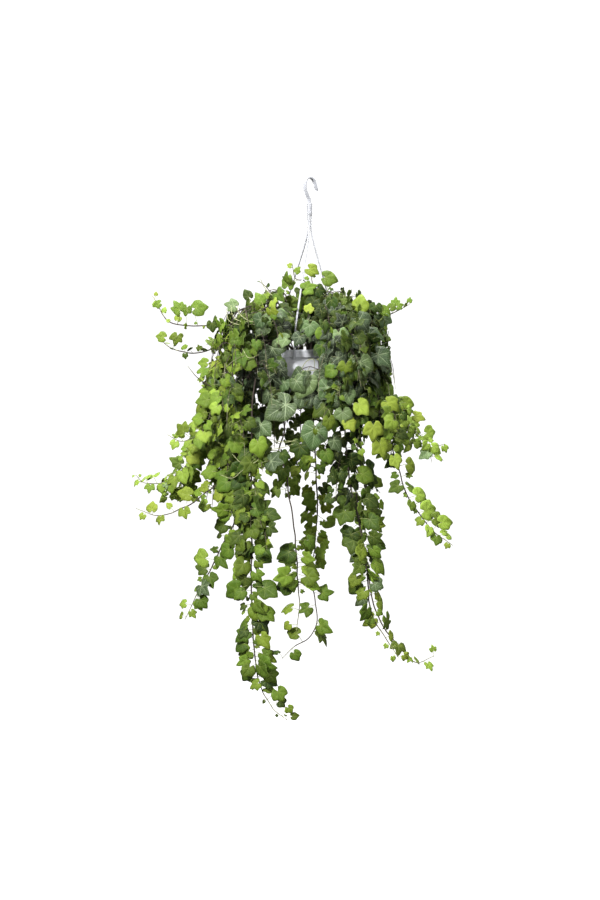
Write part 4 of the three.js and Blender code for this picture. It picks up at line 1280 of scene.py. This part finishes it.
# Trailing vines and level shoots. The long vines that hang below the pot, the nearly level shoots at
# either side, and the short upright shoots at the top. Each route runs from the soil to its tip.
TRAILING_VINES = [
    {
        "name": "vine_front_left_longest",
        "route": [
            *soil_start(-0.052, -0.035),
            (-0.084, -0.061, -0.372), (-0.106, -0.082, -0.402), (-0.122, -0.096, -0.47),
            (-0.128, -0.102, -0.6), (-0.127, -0.1, -0.793), (-0.128, -0.096, -0.951),
            (-0.118, -0.092, -1.079), (-0.109, -0.09, -1.128), (-0.081, -0.088, -1.178),
            (-0.049, -0.086, -1.206),
        ],
        "radius": 0.0020,
        "leaf": 0.036,
        "leaves_from": 0.28,
        "faces": (-0.3, -1, 0.25),
        "splay": 0.6,
        "toss": 0.55,
        "shoots_at": (0.3, 0.55),
        "spacing": 0.0090,
        "thin": (0.89, 3.0),
        "side_shoots": 9,
    },
    {
        "name": "vine_back_left_trailing",
        "route": [
            *soil_start(-0.062, 0.017),
            (-0.1, 0.03, -0.372), (-0.126, 0.04, -0.405), (-0.142, 0.048, -0.5),
            (-0.152, 0.054, -0.64), (-0.171, 0.06, -0.775), (-0.199, 0.06, -0.829),
            (-0.224, 0.058, -0.881), (-0.251, 0.056, -0.93), (-0.284, 0.054, -0.998),
        ],
        "radius": 0.0019,
        "leaf": 0.034,
        "leaves_from": 0.3,
        "faces": (-0.45, -0.9, 0.3),
        "splay": 0.7,
        "toss": 0.4,
        "shoots_at": (0.4, 0.68),
        "spacing": 0.0145,
        "thin": (0.62, 1.35),
        "side_shoots": 6,
    },
    {
        "name": "vine_left_low",
        "route": [
            *soil_start(-0.063, -0.013),
            (-0.103, -0.024, -0.37), (-0.132, -0.032, -0.4), (-0.152, -0.038, -0.48),
            (-0.168, -0.042, -0.59), (-0.19, -0.045, -0.672), (-0.233, -0.046, -0.708),
            (-0.276, -0.046, -0.737), (-0.332, -0.044, -0.757), (-0.361, -0.042, -0.752),
            (-0.387, -0.04, -0.741),
        ],
        "radius": 0.0017,
        "leaf": 0.03,
        "leaves_from": 0.32,
        "faces": (-0.35, -0.95, 0.35),
        "splay": 0.7,
        "toss": 0.4,
        "shoots_at": (0.45, 0.68),
        "spacing": 0.0125,
        "thin": (0.64, 2.5),
        "side_shoots": 7,
    },
    {
        "name": "vine_left_back_low",
        "route": [
            *soil_start(-0.054, 0.033),
            (-0.09, 0.056, -0.37), (-0.122, 0.076, -0.4), (-0.164, 0.088, -0.462),
            (-0.213, 0.092, -0.566), (-0.246, 0.093, -0.611), (-0.291, 0.092, -0.656),
            (-0.33, 0.09, -0.683), (-0.377, 0.086, -0.687), (-0.399, 0.084, -0.668),
        ],
        "radius": 0.0017,
        "leaf": 0.03,
        "leaves_from": 0.35,
        "faces": (-0.4, -0.8, 0.5),
        "splay": 0.7,
        "toss": 0.4,
        "shoots_at": (0.5, 0.88),
        "spacing": 0.0085,
        "thin": (0.85, 2.2),
        "side_shoots": 9,
    },
    {
        "name": "vine_left_middle",
        "route": [
            *soil_start(-0.056, -0.026),
            (-0.094, -0.044, -0.366), (-0.14, -0.062, -0.384), (-0.182, -0.072, -0.44),
            (-0.215, -0.077, -0.52), (-0.24, -0.078, -0.572), (-0.285, -0.076, -0.591),
            (-0.314, -0.074, -0.577),
        ],
        "radius": 0.0016,
        "leaf": 0.029,
        "leaves_from": 0.3,
        "faces": (-0.35, -0.95, 0.35),
        "shoot": [
            (-0.199, -0.07, -0.478), (-0.231, -0.068, -0.463), (-0.253, -0.066, -0.447),
            (-0.271, -0.064, -0.424),
        ],
        "shoot_from": 0.5,
        "shoot_thin": (0.0, 6.0),
        "splay": 0.7,
        "toss": 0.4,
        "shoots_at": (0.25, 0.6),
        "spacing": 0.0110,
        "thin": (0.80, 1.8),
        "side_shoots": 5,
    },
    {
        "name": "vine_left_upper",
        "route": [
            *soil_start(-0.044, -0.005),
            (-0.072, -0.008, -0.358), (-0.112, -0.013, -0.337), (-0.16, -0.018, -0.328),
            (-0.206, -0.022, -0.332), (-0.273, -0.024, -0.332), (-0.314, -0.024, -0.323),
            (-0.343, -0.022, -0.28), (-0.352, -0.02, -0.266),
        ],
        "radius": 0.0016,
        "leaf": 0.018,
        "leaves_from": 0.34,
        "faces": (-0.2, -1, 0.5),
        "spacing": 0.030,
        "lift": 0.75,
    },
    {
        "name": "vine_left_upper_back",
        "route": [
            *soil_start(-0.044, 0.012),
            (-0.084, 0.026, -0.36), (-0.126, 0.042, -0.347), (-0.17, 0.054, -0.352),
            (-0.206, 0.06, -0.372), (-0.244, 0.064, -0.386), (-0.282, 0.066, -0.388),
            (-0.322, 0.066, -0.375), (-0.344, 0.064, -0.354),
        ],
        "radius": 0.0016,
        "leaf": 0.016,
        "leaves_from": 0.34,
        "faces": (-0.3, -0.6, 0.8),
        "spacing": 0.024,
        "lift": 0.5,
    },
    {
        "name": "vine_front_centre",
        "route": [
            *soil_start(-0.038, -0.044),
            (-0.057, -0.084, -0.373), (-0.064, -0.1, -0.4), (-0.066, -0.106, -0.46),
            (-0.058, -0.11, -0.53), (-0.055, -0.112, -0.568), (-0.068, -0.113, -0.62),
            (-0.05, -0.113, -0.66), (-0.048, -0.113, -0.701), (-0.037, -0.113, -0.76),
            (-0.03, -0.111, -0.833), (-0.026, -0.109, -0.903), (-0.023, -0.107, -0.944),
            (-0.029, -0.105, -1.008),
        ],
        "radius": 0.0019,
        "leaf": 0.034,
        "leaves_from": 0.72,
        "faces": (0, -1, 0.25),
        "shoot": [
            (0.003, -0.108, -0.911), (0.014, -0.106, -0.955), (0.015, -0.104, -0.99),
            (0, -0.102, -1.021), (-0.036, -0.1, -1.044), (-0.062, -0.098, -1.07),
        ],
        "shoot_from": 0.84,
        "splay": 0.7,
        "toss": 0.6,
        "shade_and_tone": 0.16,
        "shoots_at": (0.25, 0.6),
        "spacing": 0.0085,
        "thin": (0.87, 6.0),
        "shoot_thin": (0.0, 4.0),
    },
    {
        "name": "vine_back_centre",
        "route": [
            *soil_start(-0.006, 0.05),
            (-0.004, 0.093, -0.371), (0.002, 0.112, -0.402), (0.008, 0.12, -0.5),
            (0.014, 0.122, -0.636), (0.019, 0.12, -0.728), (0.014, 0.118, -0.82),
            (0.004, 0.114, -0.906),
        ],
        "radius": 0.0019,
        "leaf": 0.028,
        "leaves_from": 0.3,
        "faces": (0, -1, 0.3),
        "splay": 0.35,
        "toss": 0.7,
        "shoots_at": (0.25, 0.6),
        "spacing": 0.0095,
        "side_shoots": 2,
        # Painted light on its leaves, which hang in the shade of the front foliage.
        "shade_and_tone": 0.50,
    },
    {
        "name": "vine_right_front_trailing",
        "route": [
            *soil_start(0.024, -0.033),
            (0.056, -0.061, -0.371), (0.07, -0.074, -0.404), (0.076, -0.082, -0.48),
            (0.08, -0.087, -0.613), (0.091, -0.088, -0.694), (0.109, -0.088, -0.773),
            (0.124, -0.086, -0.86), (0.136, -0.084, -0.969), (0.158, -0.082, -1.012),
            (0.195, -0.08, -1.068),
        ],
        "radius": 0.0019,
        "leaf": 0.034,
        "leaves_from": 0.28,
        "faces": (0.3, -1, 0.25),
        "splay": 0.45,
        "toss": 0.65,
        "shoots_at": (0.25, 0.5),
        "spacing": 0.0105,
        "thin": (0.80, 2.4),
        "side_shoots": 4,
        "shade_and_tone": -0.08,
    },
    {
        "name": "vine_right_back_trailing",
        "route": [
            *soil_start(0.025, 0.031),
            (0.058, 0.058, -0.371), (0.076, 0.072, -0.402), (0.09, 0.08, -0.5), (0.1, 0.084, -0.62),
            (0.114, 0.086, -0.76), (0.132, 0.086, -0.88), (0.149, 0.084, -0.969),
            (0.177, 0.082, -1.027), (0.206, 0.08, -1.061), (0.245, 0.078, -1.098),
            (0.287, 0.076, -1.083),
        ],
        "radius": 0.0019,
        "leaf": 0.034,
        "leaves_from": 0.3,
        "faces": (0.6, -0.7, 0.3),
        "splay": 0.7,
        "toss": 0.6,
        "shoots_at": (0.25, 0.6),
        "spacing": 0.0125,
        "thin": (0.64, 2.6),
        "side_shoots": 3,
        "shade_and_tone": -0.05,
    },
    {
        "name": "vine_right_low",
        "route": [
            *soil_start(0.035, -0.014),
            (0.076, -0.026, -0.372), (0.102, -0.033, -0.397), (0.132, -0.041, -0.45),
            (0.162, -0.047, -0.54), (0.184, -0.051, -0.612), (0.203, -0.053, -0.669),
            (0.212, -0.054, -0.702), (0.246, -0.054, -0.757), (0.28, -0.053, -0.796),
            (0.318, -0.052, -0.823),
        ],
        "radius": 0.0017,
        "leaf": 0.034,
        "leaves_from": 0.3,
        "faces": (0.4, -0.9, 0.4),
        "splay": 0.7,
        "toss": 0.4,
        "shoots_at": (0.3, 0.5),
        "spacing": 0.0125,
        "shade_and_tone": -0.18,
        "thin": (0.55, 1.35),
        "side_shoots": 3,
    },
    {
        "name": "vine_right_middle",
        "route": [
            *soil_start(0.036, 0.01),
            (0.075, 0.018, -0.37), (0.108, 0.026, -0.388), (0.142, 0.034, -0.434), (0.17, 0.04, -0.5),
            (0.192, 0.042, -0.557), (0.231, 0.042, -0.582), (0.278, 0.04, -0.604),
            (0.307, 0.038, -0.597),
        ],
        "radius": 0.0016,
        "leaf": 0.032,
        "leaves_from": 0.3,
        "faces": (0.5, -0.8, 0.4),
        "splay": 0.7,
        "toss": 0.4,
        "shoots_at": (0.45, 0.8),
        "spacing": 0.013,
        "shade_and_tone": 0.12,
        "thin": (0.80, 1.9),
        "side_shoots": 6,
    },
    {
        "name": "vine_right_upper",
        "route": [
            *soil_start(0.016, -0.004),
            (0.036, -0.008, -0.356), (0.066, -0.013, -0.334), (0.1, -0.017, -0.325),
            (0.146, -0.02, -0.318), (0.177, -0.02, -0.309), (0.204, -0.018, -0.296),
            (0.225, -0.016, -0.284),
        ],
        "radius": 0.0016,
        "leaf": 0.018,
        "leaves_from": 0.34,
        "faces": (0.2, -1, 0.5),
        "spacing": 0.030,
        "lift": 0.6,
    },
    {
        "name": "shoot_top_front",
        "route": [
            *soil_start(-0.022, -0.022),
            (-0.018, -0.032, -0.33), (-0.01, -0.038, -0.262), (-0.012, -0.038, -0.234),
            (-0.032, -0.036, -0.229), (-0.039, -0.036, -0.194),
        ],
        "radius": 0.0013,
        "leaf": 0.024,
        "leaves_from": 0.5,
        "faces": (0, -1, 0.4),
        "spacing": 0.024,
        "lift": 0.6,
        "shade_and_tone": 0.2,
    },
    {
        "name": "shoot_top_right",
        "route": [
            *soil_start(-0.006, -0.024),
            (0.004, -0.03, -0.33), (0.008, -0.03, -0.26), (0, -0.026, -0.205),
        ],
        "radius": 0.0013,
        "leaf": 0.026,
        "leaves_from": 0.4,
        "faces": (0.3, -1, 0.4),
        "spacing": 0.022,
        "lift": 0.6,
        "shade_and_tone": 0.2,
    },
    {
        "name": "shoot_top_left",
        "route": [
            *soil_start(-0.036, -0.014),
            (-0.056, -0.02, -0.33), (-0.075, -0.022, -0.27), (-0.095, -0.022, -0.25),
            (-0.114, -0.022, -0.232),
        ],
        "radius": 0.0013,
        "leaf": 0.012,
        "leaves_from": 0.4,
        "faces": (-0.3, -1, 0.5),
        "spacing": 0.03,
        "lift": 0.6,
        "shade_and_tone": -0.3,
    },
]


# Curtain, inner ring and crown. Sixteen vines arch high over the rim and hang well out from the pot,
# shorter at the front, where they leave the pot's face open. Ten old shoots only just clear the rim and
# hold large dark leaves close to the pot. Six short vines rise highest at the middle.
CURTAIN_ANGLES = [-158, -142, -117, -97, -72, -55, -36, 22, 38, 57, 88, 96, 122, 142, 163, 182]
INNER_ANGLES = [-144, -104, -84, -38, 16, 44, 66, 92, 114, 150]
CROWN_ANGLES = [-168, -108, -50, 52, 90, 134]


def seeded_shares(seed):
    """The same endless run of numbers from 0 to 1 that the CAD model takes its arching vines from."""
    while True:
        seed = seed * 16807 % 2147483647
        yield seed / 2147483647


def arch_route(angle, start, crest, reach, end):
    """The route of a vine that rises from the soil, arches over at its crest and hangs down."""
    foot = around_pot(start, angle, 0)

    def bend(share, z):
        return tuple(around_pot(start + (reach - start) * share, angle, z))

    return [
        *soil_start(foot.x, foot.y),
        bend(0.22, SOIL_TOP_Z + 0.62 * (crest - SOIL_TOP_Z)),
        bend(0.55, crest - 0.004),
        bend(0.82, crest - 0.008),
        bend(1, crest - 0.044),
        bend(1.06, 0.5 * (crest - 0.044 + end)),
        bend(1, end),
    ]


arching_vines = []
for i, angle in enumerate(CURTAIN_ANGLES):
    shares = seeded_shares(1000 + 37 * i)
    front = math.cos(math.radians(angle))
    left = max(0, -math.sin(math.radians(angle)))
    crest = -0.292 + 0.028 * next(shares)
    reach = 0.158 + 0.022 * next(shares) + 0.022 * left - 0.025 * max(0, front)
    end = crest - (0.130 if front > 0.8 else 0.260) - 0.090 * next(shares)
    arching_vines.append(
        {
            "name": f"vine_curtain_{i + 1:02d}",
            "route": arch_route(angle, 0.026 + 0.009 * (i % 3), crest, reach, end),
            "radius": 0.0015,
            "leaf": 0.032,
            "leaves_from": 0.20,
            "spacing": 0.0115,
            "dome": True,
            "toss": 0.95,
            "side_shoots": 7,
            "runners": 3,
        }
    )
for i, angle in enumerate(INNER_ANGLES):
    shares = seeded_shares(5000 + 53 * i)
    crest = -0.352 + 0.026 * next(shares)
    reach = 0.112 + 0.014 * next(shares)
    end = crest - 0.120 - 0.090 * next(shares)
    arching_vines.append(
        {
            "name": f"vine_inner_{i + 1:02d}",
            "route": arch_route(angle, 0.056, crest, reach, end),
            "radius": 0.0017,
            "leaf": 0.044,
            "leaves_from": 0.28,
            "spacing": 0.018,
            "side_shoots": 2,
            "shade_and_tone": -0.05,
            "old": True,
        }
    )
for i, angle in enumerate(CROWN_ANGLES):
    shares = seeded_shares(9000 + 71 * i)
    crest = -0.258 + 0.026 * next(shares)
    reach = 0.080 + 0.024 * next(shares)
    end = crest - 0.070 - 0.030 * next(shares)
    arching_vines.append(
        {
            "name": f"vine_crown_{i + 1:02d}",
            "route": arch_route(angle, 0.015, crest, reach, end),
            "radius": 0.0014,
            "leaf": 0.030,
            "leaves_from": 0.24,
            "spacing": 0.0115,
            "dome": True,
            "toss": 1.0,
            "side_shoots": 5,
            "runners": 2,
        }
    )


# Leaves with a place of their own: the large old ones in front of the pot and those that stand clear at the
# edges, as the middle of the blade, the ways its tip and its face point, its length, its tone, which holds
# painted shade and light, and its kind. They grow from the nearest vine. Behind the front leg and beside the
# pot, smaller ones fill the gaps, darkened with painted shade.
FACING = (0, -1, 0.35)
FACING_LEFT = (-0.35, -1, 0.4)
FACING_RIGHT = (0.35, -1, 0.4)
PLACED_LEAVES = [
    ((-0.071, -0.166, -0.525), (-0.85, 0, -0.50), FACING, 0.056, 0.38, "old"),
    ((-0.015, -0.158, -0.476), (-0.45, 0, -0.90), FACING, 0.046, 0.70, "old"),
    ((0.008, -0.150, -0.586), (-0.15, 0, -1.0), FACING, 0.047, 0.62, "old"),
    ((0.111, -0.142, -0.438), (0.10, 0, -1.0), FACING_RIGHT, 0.042, 0.55, "old"),
    ((0.033, -0.152, -0.363), (0.30, 0, -0.90), FACING, 0.026, 0.62, "young"),
    ((0.066, -0.150, -0.372), (0.20, 0, -1.0), FACING, 0.031, 0.90, "old"),
    ((-0.001, -0.140, -0.352), (-0.10, 0, -1.0), FACING, 0.028, 0.75, "old"),
    ((-0.064, -0.135, -0.372), (-1.0, 0, -0.15), (0, -1, 0.6), 0.030, 0.82, "old"),
    ((-0.064, -0.145, -0.323), (0.30, 0, -0.90), FACING, 0.024, 0.86, "old"),
    ((-0.098, -0.135, -0.332), (-0.50, 0, -0.80), FACING_LEFT, 0.025, 0.90, "old"),
    ((-0.107, -0.138, -0.354), (-0.80, 0, -0.50), FACING_LEFT, 0.027, 0.70, "old"),
    ((-0.046, -0.032, -0.233), (0.20, 0, 1.0), (0, -1, 0.2), 0.026, 0.56, "young"),
    ((0.003, -0.052, -0.249), (0.90, 0, 0.30), FACING, 0.028, 0.62, "young"),
    ((0.010, -0.045, -0.213), (0.60, 0, -0.30), FACING, 0.023, 0.70, "young"),
    ((0.048, -0.042, -0.230), (0.80, 0, -0.20), FACING, 0.029, 0.50, "young"),
    ((0.111, -0.100, -0.286), (0.15, 0, 1.0), FACING, 0.031, 0.78, "young"),
    ((-0.001, -0.130, -0.300), (0.20, 0, 0.80), FACING, 0.016, 1.00, "young"),
    ((0.163, -0.090, -0.413), (0.70, 0, -0.60), FACING_RIGHT, 0.042, 0.28, "old"),
    ((0.145, -0.100, -0.361), (0.90, 0, -0.30), FACING_RIGHT, 0.036, 0.30, "old"),
    ((0.118, -0.115, -0.336), (0.60, 0, -0.70), FACING_RIGHT, 0.034, 0.22, "old"),
    ((-0.111, -0.120, -0.278), (-0.40, 0, 0.70), FACING, 0.024, 0.62, "young"),
    ((-0.177, -0.060, -0.289), (-1.0, 0, 0.30), FACING_LEFT, 0.024, 0.80, "old"),
    ((-0.139, -0.080, -0.266), (-0.50, 0, 0.80), FACING_LEFT, 0.019, 0.25, "young"),
    ((-0.109, -0.152, -0.573), (-0.20, 0, -1.0), FACING_LEFT, 0.040, 0.50, "old"),
    ((-0.154, -0.135, -0.606), (0.60, 0, -0.70), FACING, 0.034, 0.60, "young"),
    ((-0.109, -0.166, -0.611), (0.20, 0, -1.0), FACING, 0.036, 0.75, "young"),
    ((0.053, -0.152, -0.458), (-0.30, 0, -1.0), FACING, 0.036, 0.50, "old"),
    ((0.030, -0.158, -0.487), (-0.50, 0, -0.80), FACING, 0.032, 0.60, "old"),
    ((0.084, -0.150, -0.498), (0.30, 0, -0.90), FACING, 0.030, 0.65, "old"),
    ((0.071, -0.158, -0.541), (0, 0, -1.0), FACING, 0.028, 0.72, "old"),
    ((0.089, -0.155, -0.559), (0.50, 0, -0.80), FACING, 0.026, 0.85, "young"),
    ((0.116, -0.146, -0.523), (0.60, 0, -0.70), FACING_RIGHT, 0.030, 0.95, "young"),
    ((0.183, -0.100, -0.514), (0.80, 0, -0.50), FACING_RIGHT, 0.031, 0.70, "young"),
    ((0.138, -0.132, -0.575), (0, 0, -1.0), FACING_RIGHT, 0.034, 0.85, "young"),
    ((0.158, -0.120, -0.613), (0.30, 0, -1.0), FACING_RIGHT, 0.034, 0.70, "young"),
    ((0.190, -0.100, -0.640), (0.30, 0, -0.90), FACING_RIGHT, 0.028, 0.95, "young"),
    ((-0.170, -0.095, -0.429), (-0.20, 0, -1.0), FACING_LEFT, 0.032, 0.90, "young"),
    ((-0.217, -0.050, -0.431), (-0.90, 0, -0.40), FACING_LEFT, 0.030, 0.85, "young"),
    ((-0.172, -0.095, -0.377), (-0.50, 0, -0.80), FACING_LEFT, 0.032, 0.95, "young"),
    ((0.145, -0.035, -0.299), (-0.20, 0, -0.90), FACING, 0.022, 0.28, "young"),
    ((0.170, -0.030, -0.303), (0.70, 0, -0.50), FACING, 0.025, 0.58, "young"),
    ((0.186, -0.026, -0.288), (0.60, 0, 0.60), FACING, 0.016, 0.50, "young"),
    ((0.203, -0.026, -0.287), (0.80, 0, 0.30), FACING, 0.015, 0.60, "young"),
    ((0.224, -0.024, -0.274), (0.20, 0, 1.0), FACING, 0.010, 0.66, "young"),
    ((0.165, -0.030, -0.328), (0.10, 0, -1.0), FACING, 0.029, 0.60, "old"),
    ((-0.066, -0.128, -0.452), (-0.20, 0, -1.0), FACING, 0.034, 0.12, "old"),
    ((-0.052, -0.122, -0.474), (0.30, 0, -1.0), FACING, 0.030, 0.20, "old"),
    ((-0.072, -0.122, -0.425), (-0.50, 0, -0.9), FACING, 0.026, 0.10, "old"),
    ((-0.296, -0.030, -0.288), (-0.50, 0, 0.80), FACING, 0.024, 0.62, "young"),
    ((-0.276, -0.030, -0.302), (-0.20, 0, -0.80), FACING, 0.019, 0.60, "young"),
    ((-0.242, -0.030, -0.292), (0.90, 0, 0.20), FACING, 0.028, 0.58, "young"),
    ((-0.217, -0.030, -0.337), (0.10, 0, -1.0), FACING, 0.021, 0.25, "young"),
    ((-0.343, -0.026, -0.286), (-0.80, 0, -0.30), FACING, 0.017, 0.62, "young"),
    ((-0.341, 0.058, -0.352), (-0.80, 0, 0.20), FACING, 0.018, 0.65, "young"),
    ((-0.305, 0.058, -0.361), (-0.30, 0, -0.90), FACING, 0.024, 0.55, "young"),
    ((-0.283, 0.058, -0.398), (0.10, 0, -1.0), FACING, 0.011, 0.35, "young"),
    ((-0.064, -0.100, -1.151), (0.50, 0, -0.90), FACING, 0.026, 0.60, "young"),
    ((-0.043, -0.098, -1.182), (0.60, 0, -0.80), FACING, 0.015, 0.65, "young"),
    ((-0.122, -0.102, -1.128), (-0.80, 0, -0.50), FACING, 0.021, 0.65, "young"),
    ((-0.081, -0.100, -1.112), (0.60, 0, -0.70), FACING, 0.027, 0.50, "young"),
    ((-0.057, -0.118, -0.630), (0.30, 0, -1.0), FACING, 0.026, 0.28, "young"),
    ((-0.062, -0.118, -0.664), (-0.30, 0, -1.0), FACING, 0.028, 0.35, "young"),
    ((-0.078, -0.116, -0.706), (-0.60, 0, -0.80), FACING_LEFT, 0.020, 0.40, "young"),
    ((-0.024, -0.125, -0.616), (-0.20, 0, -1.0), FACING, 0.034, 0.22, "young"),
    ((0.040, -0.140, -0.628), (0.40, 0, -0.90), FACING, 0.028, 0.45, "young"),
    ((0.060, -0.140, -0.600), (0.60, 0, -0.80), FACING_RIGHT, 0.030, 0.40, "old"),
]
FILLER_SEED = 77
BEHIND_THE_LEG = [
    (-0.012, -0.060, -0.338), (-0.035, -0.066, -0.322), (0.014, -0.060, -0.322), (0.004, -0.052, -0.292),
    (-0.024, -0.050, -0.288), (0.024, -0.064, -0.348), (-0.045, -0.070, -0.348), (-0.014, -0.046, -0.264),
    (0.022, -0.048, -0.264), (0.034, -0.060, -0.302),
]
BESIDE_THE_POT = [
    (-0.074, -0.118, -0.402), (-0.069, -0.120, -0.436), (-0.085, -0.122, -0.468), (-0.066, -0.118, -0.372),
    (-0.092, -0.120, -0.420), (0.014, -0.146, -0.502), (-0.034, -0.140, -0.505), (0.042, -0.150, -0.430),
    (0.024, -0.150, -0.462), (0.038, -0.146, -0.395), (0.034, -0.146, -0.512), (-0.008, -0.148, -0.506),
    (0.020, -0.150, -0.528), (0.046, -0.150, -0.486),
]
placing = random.Random(FILLER_SEED)
# The fillers' low tones are painted shade behind the leg and beside the pot.
fillers = ((BEHIND_THE_LEG, 0.15, 0.5, 0.027), (BESIDE_THE_POT, 0.05, 0.35, 0.033))
for spots, darkest, palest, size in fillers:
    for spot in spots:
        way = (placing.uniform(-0.8, 0.8), 0, -placing.uniform(0.5, 1.0))
        face = (placing.uniform(-0.5, 0.5), -1, placing.uniform(0.1, 0.7))
        kind = placing.choice(("young", "old"))
        shade_and_tone = placing.uniform(darkest, palest)
        PLACED_LEAVES.append((spot, way, face, size * placing.uniform(0.85, 1.15), shade_and_tone, kind))

LOOSE_STALKS = [
    [(-0.017, -0.118, -0.4365), (-0.006, -0.128, -0.417), (0.008, -0.130, -0.413), (0.010, -0.128, -0.435)],
    [(0.015, -0.128, -0.414), (0.033, -0.130, -0.413), (0.034, -0.130, -0.438)],
    [(-0.081, -0.050, -0.268), (-0.100, -0.040, -0.250), (-0.110, -0.036, -0.228)],
    [(-0.111, -0.150, -0.631), (-0.147, -0.150, -0.656), (-0.168, -0.145, -0.672), (-0.195, -0.140, -0.665)],
    [(-0.134, -0.150, -0.640), (-0.150, -0.150, -0.638), (-0.168, -0.145, -0.620)],
    [(-0.078, -0.140, -0.591), (-0.050, -0.146, -0.594), (-0.026, -0.146, -0.588)],
    [(-0.089, -0.145, -0.611), (-0.060, -0.150, -0.606), (-0.033, -0.146, -0.597)],
    [(-0.110, -0.150, -0.404), (-0.132, -0.155, -0.412), (-0.147, -0.150, -0.390)],
    [(-0.150, -0.135, -0.340), (-0.176, -0.130, -0.330), (-0.182, -0.120, -0.300)],
    [(-0.142, -0.140, -0.335), (-0.166, -0.138, -0.322), (-0.172, -0.125, -0.296)],
    [(-0.134, -0.145, -0.330), (-0.155, -0.142, -0.312), (-0.158, -0.130, -0.292)],
]

all_vines = [*TRAILING_VINES, *arching_vines]
vine_lines = [curve_point(vine["route"], STEM_STEP) for vine in all_vines]


def nearest_vine(at):
    return int(np.argmin([np.min(np.linalg.norm(line - np.array(at), axis=1)) for line in vine_lines]))


leaves_by_vine = [[] for _ in all_vines]
for leaf in PLACED_LEAVES:
    leaves_by_vine[nearest_vine(leaf[0])].append(leaf)
stalks_by_vine = [[] for _ in all_vines]
for route in LOOSE_STALKS:
    stalks_by_vine[nearest_vine(route[0])].append(route)
for index, vine in enumerate(all_vines):
    grow_vine(vine, index, leaves_by_vine[index], stalks_by_vine[index])
